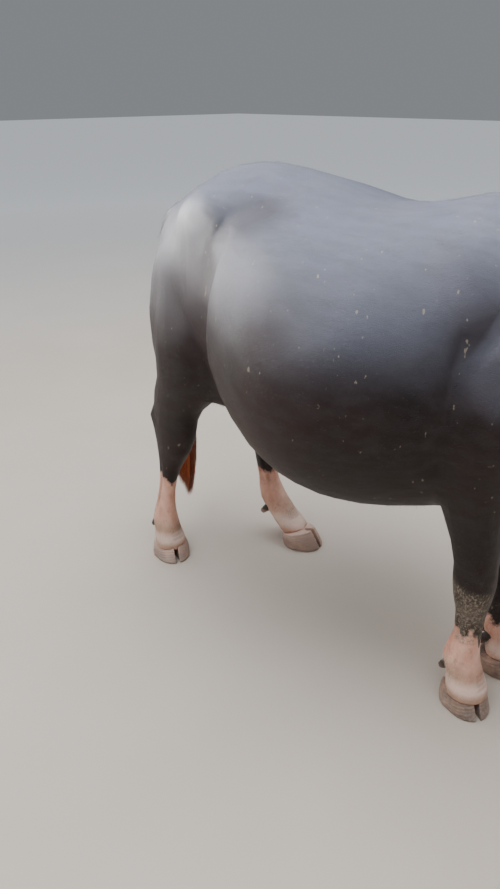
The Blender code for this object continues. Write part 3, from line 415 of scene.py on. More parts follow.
def spotWeight(points, spot, radius, mirrored=True):  # soft round weight about a spot
    x, y, z = bodyAxes(points)
    y = -np.abs(y) if mirrored else y
    away = np.stack([x - spot[0], y - spot[1], z - spot[2]], axis=1)
    return np.exp(-(away ** 2).sum(axis=1) / radius ** 2)


# soft fields from 0 to 1 with their edge at a half: pale hair, bare dark skin, painted shade in folds, dust
# with a painted highlight on the pin bone
def markFields(points, shade):
    x, y, z = bodyAxes(points)
    pale = np.zeros(len(points))
    for foot, (footX, footY) in feet.items():
        reach = 0.30 if foot == "hind_left" else 0.16
        near = (np.abs(y - footY) < 0.10) & (x > footX - reach) & (x < footX + 0.14) & (z < 0.6)
        angle = np.arctan2(y - footY, x - footX)
        edge = markPlan["stockings"][foot] - markPlan["darkFront"][foot] * np.exp(-(angle / 0.7) ** 2)
        edge = edge + 0.012 * np.sin(3 * angle + footX * 9) + 0.008 * np.sin(7 * angle)
        field = 0.5 + (edge - z) / (2 * markPlan["edge"])
        pale = np.where(near, np.maximum(pale, field), pale)
    along, out, rise = toHead(points).T
    onHead = (x > 1.0) & (along > -0.02)
    width = np.interp(along, markPlan["blazeAlong"], markPlan["blazeWidth"])
    blaze = 0.5 + (width - np.abs(out + 0.006 * np.sin(along * 30))) / 0.030
    blaze = np.where(rise > -0.075, blaze, 0)
    chin = 0.5 + np.minimum((along - 0.405) / 0.05, (-0.118 - rise) / 0.030)
    pale = np.where(onHead, np.maximum(pale, np.maximum(blaze, chin)), pale)
    nose = smoothStep(0.478, 0.500, along) * smoothStep(-0.110, -0.098, rise) * smoothStep(-0.020, -0.032, rise)
    splash = smoothStep(0.20, 0.25, z) * smoothStep(0.47, 0.38, z)
    splash *= np.exp(-(((x - 0.56) / 0.10) ** 2 + ((y + 0.14) / 0.075) ** 2))
    # a painted highlight on the pin bone, laid into the dust field with its pale colour
    pinHighlight = spotWeight(points, (-0.385, -0.235, 1.225), 0.055)
    dust = np.max([smoothStep(0.35, 0.05, z) * 0.6, 1.3 * splash, 0.25 * smoothStep(1.25, 1.36, z),
                   0.42 * pinHighlight], axis=0)
    return [np.clip(field, 0, 1) for field in (pale, np.where(onHead, nose, 0), shade, dust)]


def storeMarks(mesh, shade):
    points = readVectors(mesh.vertices, "co")
    storeField(mesh, "marks", np.stack(markFields(points, shade), axis=1))
    facing = readVectors(mesh.vertices, "normal")[:, 2]
    # painted sheen: paler high on the body and where the hide faces up, as light from above falls
    paintedSheen = smoothStep(0.84, 1.12, points[:, 2]) * (0.24 + 0.76 * smoothStep(0.08, 0.54, facing))
    paintedSheen += 0.28 * smoothStep(0.60, 0.92, facing) * smoothStep(1.0, 1.2, points[:, 2])
    gloss = np.ones(len(points))
    for spot, radius, paler, glossier, mirrored in markPlan["paintedLightAndGlossSpots"]:
        weight = spotWeight(points, spot, radius, mirrored)
        paintedSheen += paler * weight
        gloss += glossier * weight
    storeField(mesh, "paintedSheen", np.maximum(paintedSheen, 0))
    storeField(mesh, "gloss", np.maximum(gloss, 0))


def thinOut(obj, triangles):  # fewer triangles, most of them kept on the head
    count = 2 * len(obj.data.polygons)
    if count > triangles:
        x, _, z = bodyAxes(readVectors(obj.data.vertices, "co"))
        setGroup(obj, "plain", 1 - 0.92 * smoothStep(1.0, 1.08, x) - 0.45 * smoothStep(0.55, 0.45, z))
        modified(obj, "DECIMATE", ratio=triangles / count, vertex_group="plain", vertex_group_factor=1.0,
                 use_collapse_triangulate=True)
    obj.vertex_groups.clear()
    obj.data.shade_smooth()


print("skin: joining the flesh")
skin = modified(buildSkinShape(), "REMESH", mode="VOXEL", voxel_size=skinPlan["voxel"])
print("skin: smoothing", len(skin.data.vertices), "points")
setGroup(skin, "soft", softness(readVectors(skin.data.vertices, "co")))
modified(skin, "SMOOTH", factor=0.5, iterations=skinPlan["softRounds"], vertex_group="soft")
print("skin: sculpting")
storeMarks(skin.data, shapeSkin(skin))
thinOut(skin, skinPlan["triangles"])
print("skin:", len(skin.data.polygons), "faces")
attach(skin, "root")
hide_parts(*fleshNodes)

# claws: hooves and dewclaws
clawPlan = {"voxel": 0.0026, "ringDepth": 0.0006, "ringStep": 0.0085}
clawNodes = [f"{kind}_{foot}_{claw}" for kind in ("hoof", "dewclaw") for foot in feet
             for claw in ("outer", "inner")]


def buildClaws():
    bm = bmesh.new()
    for name in clawNodes:
        mergedCopy(bm, name)
    claws = modified(linkObject("claws", meshFrom(bm, "claws")), "REMESH", mode="VOXEL",
                     voxel_size=clawPlan["voxel"])
    modified(claws, "SMOOTH", factor=0.5, iterations=5)
    points = readVectors(claws.data.vertices, "co")
    normals = readVectors(claws.data.vertices, "normal")
    onWall = smoothStep(0.85, 0.55, np.abs(normals[:, 2])) * smoothStep(0.004, 0.012, points[:, 2])
    wave = points[:, 2] - 0.16 * points[:, 0] + 0.004 * np.sin(points[:, 1] * 60)
    wave = wave / clawPlan["ringStep"]
    rings = np.sin(wave * 2 * math.pi) + 0.5 * np.sin(wave * 4.6 * math.pi)
    points += normals * (rings * onWall * clawPlan["ringDepth"])[:, None]
    points[:, 2] = np.maximum(points[:, 2], 0)
    writePoints(claws.data, points)
    claws.data.shade_smooth()
    return claws


claws = buildClaws()
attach(claws, "root")
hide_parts(*clawNodes)
print("claws:", len(claws.data.polygons), "faces")

# horns
hornPlan = {"coil": 0.060, "coilEnd": 0.022, "turns": 1.25, "start": 16.0, "base": 0.039, "tip": 0.008,
            "baseSpot": (0.002, 0.078, -0.010), "spread": 0.072, "rings": 26, "steps": 90}


def hornPath(side):  # the coil's centre line, with its thickness
    a, b, c = hornPlan["baseSpot"]
    root = Vector(headSpot(a, side * b, c))
    first = math.radians(hornPlan["start"])
    centre = root - Vector((math.cos(first), 0, math.sin(first))) * hornPlan["coil"]
    path = []
    for i in range(hornPlan["steps"] + 1):
        t = i / hornPlan["steps"]
        angle = first + 2 * math.pi * hornPlan["turns"] * t
        radius = hornPlan["coil"] + (hornPlan["coilEnd"] - hornPlan["coil"]) * t
        out = side * hornPlan["spread"] * math.sin(math.pi / 2 * min(t * 1.3, 1))
        thick = hornPlan["base"] + (hornPlan["tip"] - hornPlan["base"]) * t**0.85
        path.append((centre + Vector((math.cos(angle) * radius, out, math.sin(angle) * radius)), thick))
    return path


def nearestStep(points, spots):
    return np.array([np.argmin(((spots - point) ** 2).sum(axis=1)) for point in points])


def buildHorn(name, side):  # a bevelled curve along the coil, with growth rings
    path = hornPath(side)
    curve = bpy.data.curves.new(name, "CURVE")
    curve.dimensions = "3D"
    curve.bevel_depth = 1.0
    curve.bevel_resolution = 7
    curve.use_fill_caps = True
    spline = curve.splines.new("POLY")
    spline.points.add(len(path) - 1)
    for point, (spot, thick) in zip(spline.points, path):
        point.co = (*spot, 1)
        point.radius = thick * 0.93
    obj = linkObject(name, curve)
    mesh = bpy.data.meshes.new_from_object(obj.evaluated_get(bpy.context.evaluated_depsgraph_get()))
    bpy.data.objects.remove(obj)
    bpy.data.curves.remove(curve)
    points = readVectors(mesh.vertices, "co")
    spots = np.array([spot for spot, _ in path])
    nearest = nearestStep(points, spots)
    t = nearest / hornPlan["steps"]
    phase = t**0.8 * hornPlan["rings"] * 2 * math.pi
    rings = 1 + (0.020 * np.sin(phase) + 0.012 * np.sin(phase * 2.3 + 1)) * (1 - t) ** 0.7
    writePoints(mesh, spots[nearest] + (points - spots[nearest]) * rings[:, None])
    bm = bmesh.new()
    bm.from_mesh(mesh)
    bmesh.ops.remove_doubles(bm, verts=bm.verts, dist=1e-6)
    bmesh.ops.recalc_face_normals(bm, faces=bm.faces)
    bm.to_mesh(mesh)
    bm.free()
    storeField(mesh, "growth", nearestStep(readVectors(mesh.vertices, "co"), spots) / hornPlan["steps"])
    mesh.shade_smooth()
    return linkObject(name, mesh)


horns = []
for label, side in sides:
    horn = buildHorn("hornCoil_" + label, side)
    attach(horn, "root")
    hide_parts("horn_" + label)
    horns.append(horn)
print("horns done")

# eyes
eyePlan = {"irisRadius": 0.0142, "cornea": 0.0016, "pupilWide": 0.0092, "pupilHigh": 0.0050,
           "lookForward": 0.16, "lookUp": 0.04}


def buildEye(name, side):  # a ball with a raised cornea, and an attribute for iris and pupil
    bm = bmesh.new()
    bmesh.ops.create_uvsphere(bm, u_segments=72, v_segments=48, radius=headPlan["eyeRadius"] * 0.985)
    mesh = meshFrom(bm, name)
    points = readVectors(mesh.vertices, "co")
    gaze = Vector((eyePlan["lookForward"], side, eyePlan["lookUp"])).normalized()
    across = Vector((0, 0, 1)).cross(gaze).normalized()
    wide, high = points @ np.array(across), points @ np.array(gaze.cross(across))
    spread = np.sqrt(wide**2 + high**2)
    front = points @ np.array(gaze) > 0
    iris = 0.5 + (eyePlan["irisRadius"] - spread) / 0.004
    pupil = 0.5 + (1 - np.sqrt((wide / eyePlan["pupilWide"]) ** 2 + (high / eyePlan["pupilHigh"]) ** 2)) / 0.5
    bulge = np.where(front, eyePlan["cornea"] * np.clip(1 - (spread / eyePlan["irisRadius"]) ** 2, 0, 1), 0)
    points += np.array(gaze) * bulge[:, None]
    writePoints(mesh, points + headSpot(eyeAlong, side * eyeOut, eyeRise))
    fields = [np.clip(iris, 0, 1) * front, np.clip(pupil, 0, 1) * front,
              np.clip(spread / eyePlan["irisRadius"], 0, 1), np.ones(len(points))]
    storeField(mesh, "iris", np.stack(fields, axis=1))
    mesh.shade_smooth()
    eye = linkObject(name, mesh)
    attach(eye, "root")
    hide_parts("eye_left" if side > 0 else "eye_right")
    return eye


eyes = [buildEye("eyeball_" + label, side) for label, side in sides]
print("eyes done")

# coat: sparse short hair, longer fringes and the tail's brush, as solid tufts over the skin
coatPlan = {
    "seed": 509, "patch": 0.003, "unwrapFaces": 9000,
    "body": {"count": 30000, "length": (0.010, 0.018), "wide": 0.00030, "rise": 0.05},
    "legs": {"count": 34000, "length": (0.006, 0.012), "wide": 0.00040, "rise": 0.14},
    "face": {"count": 30000, "length": (0.004, 0.009), "wide": 0.00034, "rise": 0.12},
    "fringe": {  # count, least and greatest length, rise, hang, width
        "belly": (1500, 0.014, 0.034, 0.35, 0.25, 0.00045), "brisket": (500, 0.014, 0.034, 0.35, 0.30, 0.00050),
        "poll": (900, 0.035, 0.085, 0.55, 0.55, 0.00080), "throat": (500, 0.014, 0.032, 0.40, 0.30, 0.00050),
        "chin": (500, 0.010, 0.032, 0.55, 0.30, 0.00045), "thigh": (500, 0.012, 0.026, 0.25, 0.20, 0.00050),
        "fetlock": (900, 0.010, 0.022, 0.30, 0.25, 0.00055), "crest": (700, 0.014, 0.030, 0.40, 0.10, 0.00055),
        "tail": (900, 0.020, 0.045, 0.20, 0.05, 0.00060),
    },
    "ear": {"rim": 1100, "inside": 420},
    "lashes": ((1, 70, 0.014, 0.0150), (-1, 34, 0.008, 0.0160)),  # lid, count, length, height over the eye
    "brush": {"count": 2700, "top": 0.655, "bottom": 0.100, "spread": 0.054, "rows": 9, "clumps": 26},
}
tailHeights = [0.105, 0.340, 0.480, 0.620, 0.760]
tailSpots = [-0.685, -0.687, -0.692, -0.700, -0.708]
random.seed(coatPlan["seed"])
rng = np.random.default_rng(coatPlan["seed"])


def unit(vectors):
    return vectors / np.maximum(np.linalg.norm(vectors, axis=-1, keepdims=True), 1e-9)


def triangleCorners(mesh):  # the points and the loops of each triangle
    mesh.calc_loop_triangles()
    found = []
    for field in ("vertices", "loops"):
        flat = np.empty(len(mesh.loop_triangles) * 3, dtype=np.int32)
        mesh.loop_triangles.foreach_get(field, flat)
        found.append(flat.reshape(-1, 3))
    return found


def unwrapSkin():  # unwraps a coarse copy of the skin, to find where on it each tuft's patch goes
    coarse = linkObject("coarse", skin.data.copy())
    modified(coarse, "DECIMATE", ratio=min(1, coatPlan["unwrapFaces"] / len(coarse.data.polygons)))
    for obj in scene.objects:
        obj.select_set(False)
    coarse.select_set(True)
    bpy.context.view_layer.objects.active = coarse
    bpy.ops.object.mode_set(mode="EDIT")
    bpy.ops.mesh.select_all(action="SELECT")
    bpy.ops.uv.smart_project(angle_limit=math.radians(66), island_margin=0.003)
    bpy.ops.object.mode_set(mode="OBJECT")
    mesh = coarse.data
    corners, loops = triangleCorners(mesh)
    points = readVectors(mesh.vertices, "co")
    flat = np.empty(len(mesh.loops) * 2, dtype=np.float32)
    mesh.uv_layers.active.data.foreach_get("uv", flat)
    spots = flat.reshape(-1, 2)[loops]
    tree = BVHTree.FromPolygons([tuple(p) for p in points], [tuple(int(i) for i in c) for c in corners])
    dropObject(coarse)
    return tree, points[corners], spots


unwrapTree, unwrapCorners, unwrapSpots = unwrapSkin()


def patchPlaces(roots):  # each root's own place on the skin's unwrap
    found = [unwrapTree.find_nearest(Vector(root)) for root in roots]
    index = np.array([hit[2] for hit in found])
    nearest = np.array([hit[0] for hit in found])
    a, b, c = (unwrapCorners[index, k] for k in range(3))
    v0, v1, v2 = b - a, c - a, nearest - a
    d00, d01, d11 = (v0 * v0).sum(1), (v0 * v1).sum(1), (v1 * v1).sum(1)
    d20, d21 = (v2 * v0).sum(1), (v2 * v1).sum(1)
    scale = np.maximum(d00 * d11 - d01 * d01, 1e-18)
    v = (d11 * d20 - d01 * d21) / scale
    w = (d00 * d21 - d01 * d20) / scale
    weights = np.clip(np.stack([1 - v - w, v, w], axis=1), 0, 1)
    weights /= weights.sum(1, keepdims=True)
    return (unwrapSpots[index] * weights[:, :, None]).sum(1)


def bladeTemplate(segments):  # a closed, pointed blade one unit long and about one unit wide
    bm = bmesh.new()
    bmesh.ops.create_cone(bm, cap_ends=True, segments=3, radius1=1, radius2=0.0, depth=1)
    bmesh.ops.translate(bm, verts=bm.verts, vec=(0, 0, 0.5))
    for k in range(1, segments):
        geometry = bm.verts[:] + bm.edges[:] + bm.faces[:]
        bmesh.ops.bisect_plane(bm, geom=geometry, plane_co=(0, 0, k / segments), plane_no=(0, 0, 1))
    bmesh.ops.remove_doubles(bm, verts=bm.verts, dist=1e-5)
    bmesh.ops.triangulate(bm, faces=bm.faces[:])
    mesh = meshFrom(bm, "blade")
    points = readVectors(mesh.vertices, "co")
    corners, _ = triangleCorners(mesh)
    bpy.data.meshes.remove(mesh)
    along = np.clip(points[:, 2], 0, 1)
    if segments > 1:
        around = np.maximum(np.linalg.norm(points[:, :2], axis=1), 1e-6)
        profile = np.where(along > 0.999, 0, (0.55 + 0.75 * along) * np.clip(1 - along, 0, 1) ** 0.55)
        points[:, :2] *= (profile / around)[:, None]
    return points, corners


spike, bentBlade, longBlade = bladeTemplate(1), bladeTemplate(3), bladeTemplate(6)


# one piece of many blades, each along its own path of points
def growTufts(name, template, paths, wide, thick, facing, roots, tint=None):
    shape, corners = template
    count, rows = paths.shape[:2]
    rise = np.clip(shape[:, 2], 0, 1)
    at = rise * (rows - 1)
    low = np.minimum(at.astype(int), rows - 2)
    share = (at - low)[None, :, None]
    centre = paths[:, low] * (1 - share) + paths[:, low + 1] * share
    along = unit(paths[:, low + 1] - paths[:, low])
    across = unit(np.cross(facing[:, None], along))
    outward = np.cross(along, across)
    points = centre + across * (shape[:, 0][None, :, None] * wide[:, None, None])
    points += outward * (shape[:, 1][None, :, None] * thick[:, None, None])
    size = len(shape)
    faces = (corners[None] + (np.arange(count) * size)[:, None, None]).reshape(-1, 3)
    mesh = bpy.data.meshes.new(name)
    mesh.vertices.add(count * size)
    mesh.vertices.foreach_set("co", points.astype(np.float32).ravel())
    mesh.loops.add(faces.size)
    mesh.loops.foreach_set("vertex_index", faces.astype(np.int32).ravel())
    mesh.polygons.add(len(faces))
    mesh.polygons.foreach_set("loop_start", np.arange(0, faces.size, 3, dtype=np.int32))
    mesh.update(calc_edges=True)
    patch = np.stack([shape[:, 0] * 0.5, shape[:, 2] - 0.5], axis=1) * coatPlan["patch"]
    spots = (patchPlaces(roots)[:, None] + patch[None]).reshape(-1, 2)
    layer = mesh.uv_layers.new(name="OFBake")
    layer.data.foreach_set("uv", spots[faces.ravel()].astype(np.float32).ravel())
    pale, nose, _, dust = markFields(roots, np.zeros(len(roots)))
    if tint is None:
        tint = rng.random(count)
    storeField(mesh, "marks", np.repeat(np.stack([pale, tint, nose, dust], axis=1), size, axis=0))
    storeField(mesh, "along", np.tile(rise, count))
    mesh.shade_smooth()
    obj = linkObject(name, mesh)
    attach(obj, "root")
    print(name, len(faces), "triangles")
    return obj


skinNormals = readVectors(skin.data.vertices, "normal")
skinCorners, _ = triangleCorners(skin.data)
cornerPoints = readVectors(skin.data.vertices, "co")[skinCorners]
faceCross = np.cross(cornerPoints[:, 1] - cornerPoints[:, 0], cornerPoints[:, 2] - cornerPoints[:, 0])
faceAreas = np.linalg.norm(faceCross, axis=1) / 2
faceCentres = cornerPoints.mean(axis=1)
faceNormals = unit(faceCross)


def scatter(count, density):  # random roots with a density of their own on each face, and their normals
    share = faceAreas * density
    chosen = rng.choice(len(share), size=count, p=share / share.sum())
    u, v = rng.random(count), rng.random(count)
    flip = u + v > 1
    u[flip], v[flip] = 1 - u[flip], 1 - v[flip]
    weights = np.stack([1 - u - v, u, v], axis=1)[:, :, None]
    roots = (cornerPoints[chosen] * weights).sum(axis=1)
    return roots, unit((skinNormals[skinCorners[chosen]] * weights).sum(axis=1))


earRoots, earTips = {}, {}
for label, side in sides:
    earPoints = readVectors(nodes["ear_" + label].data.vertices, "co")
    earRoots[side] = headSpot(0.050, side * 0.102, -0.134)
    earTips[side] = earPoints[np.argmax(np.linalg.norm(earPoints - earRoots[side], axis=1))]


def zones(points):  # soft weights for the head, ears, legs and tail
    x, y, z = bodyAxes(points)
    along = toHead(points)[:, 0]
    ear = smoothStep(0.128, 0.140, np.abs(y)) * smoothStep(0.98, 1.02, x)
    head = smoothStep(-0.06, 0.04, along) * smoothStep(0.98, 1.06, x) * (1 - ear)
    tail = smoothStep(-0.655, -0.675, x) * smoothStep(0.06, 0.04, np.abs(y)) * smoothStep(1.22, 1.16, z)
    leg = smoothStep(0.68, 0.56, z) * (1 - tail)
    return head, ear, leg, tail


def lieOfCoat(points, normals, jitter=0.16):
    head, ear, leg, tail = (weight[:, None] for weight in zones(points))
    lie = np.tile(np.array((-1.0, 0, -0.45)), (len(points), 1))
    for weight, way in ((leg, (-0.22, 0, -1.0)), (head, (0.70, 0, -0.70)), (tail, (0.02, 0, -1.0))):
        lie = lie * (1 - weight) + np.array(way) * weight
    for side, tip in earTips.items():
        here = ear * (np.sign(points[:, 1]) == side)[:, None]
        lie = lie * (1 - here) + unit(tip - earRoots[side]) * here
    lie = lie + rng.normal(0, jitter, lie.shape)
    return unit(lie - normals * (lie * normals).sum(1, keepdims=True))


# centre lines that leave the skin along the lie of the coat and bend back, or hang
def layPaths(roots, normals, lie, length, rise, droop=0.0, hang=0.0, rows=2, sway=0.0):
    t = np.linspace(0, 1, rows)[None, :, None]
    reach = length[:, None, None]
    across = np.cross(normals, lie)[:, None] * rng.normal(0, 1, (len(roots), 1, 1)) * sway
    rise = np.broadcast_to(rise, (len(roots),))[:, None, None]
    paths = roots[:, None] - normals[:, None] * 0.0007 + lie[:, None] * reach * t * (1 - hang * 0.5 * t)
    paths = paths + normals[:, None] * (rise * t - droop * t**2) * reach
    return paths + across * reach * t**2 + np.array((0, 0, -1.0)) * hang * reach * t**2


def between(low, high, count):
    return low + (high - low) * rng.random(count)


def growShortHair():
    head, ear, leg, tail = zones(faceCentres)
    along, _, rise = toHead(faceCentres).T
    nosePad = smoothStep(0.475, 0.490, along) * smoothStep(-0.115, -0.100, rise) * head
    eyeSpots = [headSpot(eyeAlong, side * eyeOut, eyeRise) for _, side in sides]
    nearEye = np.min([np.linalg.norm(faceCentres - spot, axis=1) for spot in eyeSpots], axis=0)
    haired = (1 - nosePad) * smoothStep(0.024, 0.029, nearEye) * smoothStep(0.055, 0.085, faceCentres[:, 2])
    rest = np.clip(1 - head - ear - leg, 0, 1)
    kinds = {"body": rest * (0.6 + tail), "legs": leg, "face": np.clip(head + 0.8 * ear, 0, 1)}
    pieces = []
    for kind, density in kinds.items():
        plan = coatPlan[kind]
        roots, normals = scatter(plan["count"], density * haired + 1e-9)
        lie = lieOfCoat(roots, normals)
        length = between(*plan["length"], len(roots))
        if kind == "face":
            length *= 0.7 + 1.2 * np.clip(np.abs(toHead(roots)[:, 0] - 0.30), 0, 0.4)
        paths = layPaths(roots, normals, lie, length, plan["rise"] * between(0.3, 1.4, len(roots)))
        wide = plan["wide"] * between(0.7, 1.3, len(roots))
        pieces.append(growTufts("coat_" + kind, spike, paths, wide, wide * 0.6, normals, roots))
    return pieces


def fringeDensity():
    x, y, z = bodyAxes(faceCentres)
    head, ear, leg, tail = zones(faceCentres)
    along, out, rise = toHead(faceCentres).T
    under = smoothStep(-0.75, -0.95, faceNormals[:, 2])
    middle = np.exp(-(y / 0.07) ** 2)
    body = np.clip(1 - head - ear - leg - tail, 0, 1)
    fetlocks = sum(np.exp(-(((x - fx + 0.045) / 0.03) ** 2 + ((y - fy) / 0.04) ** 2))
                   for fx, fy in feet.values())
    return {
        "belly": (under * np.exp(-(y / 0.16) ** 2) * body * smoothStep(0.60, 0.30, x)
                  * smoothStep(-0.35, -0.15, x)),
        "brisket": middle * body * smoothStep(0.68, 0.76, x) * smoothStep(1.05, 0.92, z),
        "poll": (smoothStep(-0.03, 0.0, along) * smoothStep(0.09, 0.04, along) * np.exp(-(out / 0.045) ** 2)
                 * smoothStep(-0.03, 0.0, rise) * smoothStep(1.0, 1.05, x)),
        "throat": middle * smoothStep(-0.15, -0.22, rise) * smoothStep(0.0, 0.08, along) * head,
        "chin": (np.exp(-(out / 0.05) ** 2) * smoothStep(-0.125, -0.14, rise)
                 * smoothStep(0.38, 0.44, along) * head),
        "thigh": body * smoothStep(-0.50, -0.56, x) * smoothStep(1.0, 0.85, z),
        "fetlock": leg * fetlocks * smoothStep(0.18, 0.15, z) * smoothStep(0.07, 0.10, z),
        "crest": (body * smoothStep(0.55, 0.68, x) * smoothStep(0.045, 0.02, np.abs(y))
                  * smoothStep(0.6, 0.8, faceNormals[:, 2])),
        "tail": tail * smoothStep(0.62, 0.80, z),
    }


def growFringes():  # longer hair where it breaks the outline
    density = fringeDensity()
    parts = []
    for kind, (count, shortest, longest, lift, hang, wide) in coatPlan["fringe"].items():
        roots, normals = scatter(count, density[kind] + 1e-12)
        lie = lieOfCoat(roots, normals, 0.28)
        length = between(shortest, longest, count)
        rise = lift * between(0.4, 1.3, count)
        paths = layPaths(roots, normals, lie, length, rise, lift * 0.5, hang, 4, 0.15)
        parts.append((paths, wide * between(0.7, 1.4, count), normals, roots))
    parts += earParts() + lashParts()
    paths, wide, normals, roots = (np.concatenate([part[k] for part in parts]) for k in range(4))
    return growTufts("coat_fringe", bentBlade, paths, wide, wide * 0.5, normals, roots)


def earParts():  # hair along each ear's rim and inside its cup
    parts = []
    for label, side in sides:
        bm = bmesh.new()
        mergedCopy(bm, "ear_" + label)
        bm.normal_update()
        axis = unit(earTips[side] - earRoots[side])
        middle = (earTips[side] + earRoots[side]) / 2
        edges = [e for e in bm.edges if len(e.link_faces) == 2 and e.calc_face_angle(0) > 0.7
                 and np.dot(np.array(e.verts[0].co) - earRoots[side], axis) > 0.045]
        lengths = np.array([e.calc_length() for e in edges])
        chosen = rng.choice(len(edges), size=coatPlan["ear"]["rim"], p=lengths / lengths.sum())
        ends = np.array([[e.verts[0].co, e.verts[1].co] for e in edges])[chosen]
        bm.free()
        share = rng.random((len(chosen), 1))
        roots = ends[:, 0] * share + ends[:, 1] * (1 - share)
        outward = roots - middle
        outward = unit(outward - axis * (outward @ axis)[:, None])
        lie = unit(outward * 0.8 + axis * 0.9 + rng.normal(0, 0.25, roots.shape))
        normals = unit(outward + rng.normal(0, 0.2, roots.shape))
        length = between(0.010, 0.026, len(roots))
        paths = layPaths(roots, normals, lie, length, 0.1, 0.0, 0.25, 4, 0.1)
        parts.append((paths, 0.0005 * between(0.7, 1.4, len(roots)), normals, roots))
        _, ear, _, _ = zones(faceCentres)
        front = smoothStep(0.1, 0.5, faceNormals @ unit(np.array((0.8, side * 0.1, -0.1))))
        fromRoot = np.linalg.norm(faceCentres - earRoots[side], axis=1)
        density = ear * (np.sign(faceCentres[:, 1]) == side) * front * smoothStep(0.14, 0.06, fromRoot)
        roots, normals = scatter(coatPlan["ear"]["inside"], density + 1e-12)
        lie = unit(lieOfCoat(roots, normals, 0.2) + np.array((0.3, 0, -0.3)))
        length = between(0.020, 0.045, len(roots))
        paths = layPaths(roots, normals, lie, length, 0.25, 0.2, 0.15, 4, 0.12)
        parts.append((paths, 0.00045 * between(0.7, 1.4, len(roots)), normals, roots))
    return parts


def lashParts():
    parts = []
    turn = headTurn.to_3x3()
    for _, side in sides:
        roots, lies, normals, lengths = [], [], [], []
        for lid, count, reach, high in coatPlan["lashes"]:
            for k in range(count):
                angle = math.radians(22 + 136 * (k + random.random() * 0.6) / count)
                a, c = math.cos(angle) * 0.0205, lid * math.sin(angle) * high
                roots.append(headSpot(eyeAlong + a, side * (eyeOut + 0.0145), eyeRise + c))
                lies.append(turn @ Vector((a * 14, side, lid * 0.35)).normalized())
                normals.append(turn @ Vector((0, 0.2 * side, lid)))
                lengths.append(reach * (0.7 + 0.5 * random.random()))
        roots, lies, normals = np.array(roots), unit(np.array(lies)), unit(np.array(normals))
        paths = layPaths(roots, normals, lies, np.array(lengths), 0.35, 0.0, 0.20, 4, 0.05)
        parts.append((paths, np.full(len(roots), 0.00035), normals, roots))
    return parts


def growBrush():  # fine strands from the tail's end, spreading, then drawn to a point
    plan = coatPlan["brush"]
    count, rows = plan["count"], plan["rows"]
    start = plan["top"] - (plan["top"] - 0.40) * rng.random(count) ** 1.6
    turn = rng.random(count) * 2 * math.pi
    spread = plan["spread"] * np.sqrt(rng.random(count))
    clump = np.floor(rng.random(count) * plan["clumps"])
    end = plan["bottom"] + 0.13 * ((clump * 0.618 + 0.3) % 1) + 0.13 * rng.random(count) ** 2
    end = np.minimum(end, start - 0.10)
    clumpTurn, clumpSpread = clump * 2.399, 0.25 + 0.75 * ((clump * 0.618) % 1)
    paths = np.zeros((count, rows, 3))
    for row in range(rows):
        t = row / (rows - 1)
        z = start + (end - start) * t
        fall = (plan["top"] - z) / (plan["top"] - plan["bottom"])
        full = np.interp(fall, [0, 0.12, 0.45, 0.75, 0.92, 1.0], [0.22, 0.62, 1.0, 0.86, 0.62, 0.45])
        draw = np.clip(fall * 1.2, 0, 1)
        own, drawn = spread * (1 - 0.55 * draw), plan["spread"] * clumpSpread * 0.55 * draw
        a, b = (own * wave(turn) + drawn * wave(clumpTurn) for wave in (np.cos, np.sin))
        curl = 0.0035 * np.sin(9 * t + clump) + 0.0015 * np.sin(17 * t + turn)
        middle = np.interp(z, tailHeights, tailSpots) + shiftX
        paths[:, row] = np.stack([middle + a * full + curl, b * full + curl * 0.6, z], axis=1)
    facing = unit(np.stack([np.cos(turn), np.sin(turn), np.zeros(count)], axis=1))
    wide = between(0.0010, 0.0021, count)
    tint = np.clip((clump * 0.377) % 1 * 0.6 + rng.random(count) * 0.4, 0, 1)
    piece = growTufts("coat_switch", longBlade, paths, wide, wide * 0.35, facing, paths[:, 0], tint)
    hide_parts("tail_switch")
    return piece


coatPieces = growShortHair()
coatPieces.append(growFringes())
brush = growBrush()
print("coat done")


# materials
def plugIn(tree, node, plugs):  # a socket is linked, a number or a colour is set
    for key, value in plugs.items():
        socket = node.inputs[key]
        if isinstance(value, bpy.types.NodeSocket):
            tree.links.new(value, socket)
        else:
            socket.default_value = (*value, 1) if socket.type == "RGBA" else value


def newMaterial(name, roughness):
    material = bpy.data.materials.new(name)
    material.use_nodes = True
    tree = material.node_tree
    shader = tree.nodes["Principled BSDF"]
    plugIn(tree, shader, {"Roughness": roughness})
    return material, tree, shader


def addNode(tree, kind, plugs=None, **values):
    node = tree.nodes.new("ShaderNode" + kind)
    node.location = (180 * len(tree.nodes), 0)
    for key, value in values.items():
        setattr(node, key, value)
    plugIn(tree, node, plugs or {})
    return node


def addMix(tree, factor, first, second, blend="MIX"):
    return addNode(tree, "Mix", {0: factor, 6: first, 7: second}, data_type="RGBA", blend_type=blend).outputs[2]


def paintOver(tree, colour, *coats):  # each coat is a mask and a colour
    for mask, paint in coats:
        colour = addMix(tree, mask, colour, paint)
    return colour


def addMath(tree, operation, first, second=0.0, clamp=False):
    return addNode(tree, "Math", {0: first, 1: second}, operation=operation, use_clamp=clamp).outputs[0]


def times(tree, first, second, clamp=False):
    return addMath(tree, "MULTIPLY", first, second, clamp)


def addRange(tree, value, low, high, toLow=0.0, toHigh=1.0):
    return addNode(tree, "MapRange", {0: value, 1: low, 2: high, 3: toLow, 4: toHigh}, clamp=True).outputs[0]


def addNoise(tree, source, scale, detail, roughness, stretch=None):
    if stretch:
        source = addNode(tree, "Mapping", {"Vector": source, "Scale": stretch}).outputs["Vector"]
    plugs = {"Vector": source, "Scale": scale, "Detail": detail, "Roughness": roughness}
    return addNode(tree, "TexNoise", plugs).outputs["Fac"]


def addBumps(tree, shader, *layers):  # each layer is a height, its strength and its distance
    bump = shader
    for height, strength, distance in reversed(layers):
        under = addNode(tree, "Bump", {"Height": height, "Strength": strength, "Distance": distance})
        plugIn(tree, bump, {"Normal": under.outputs["Normal"]})
        bump = under


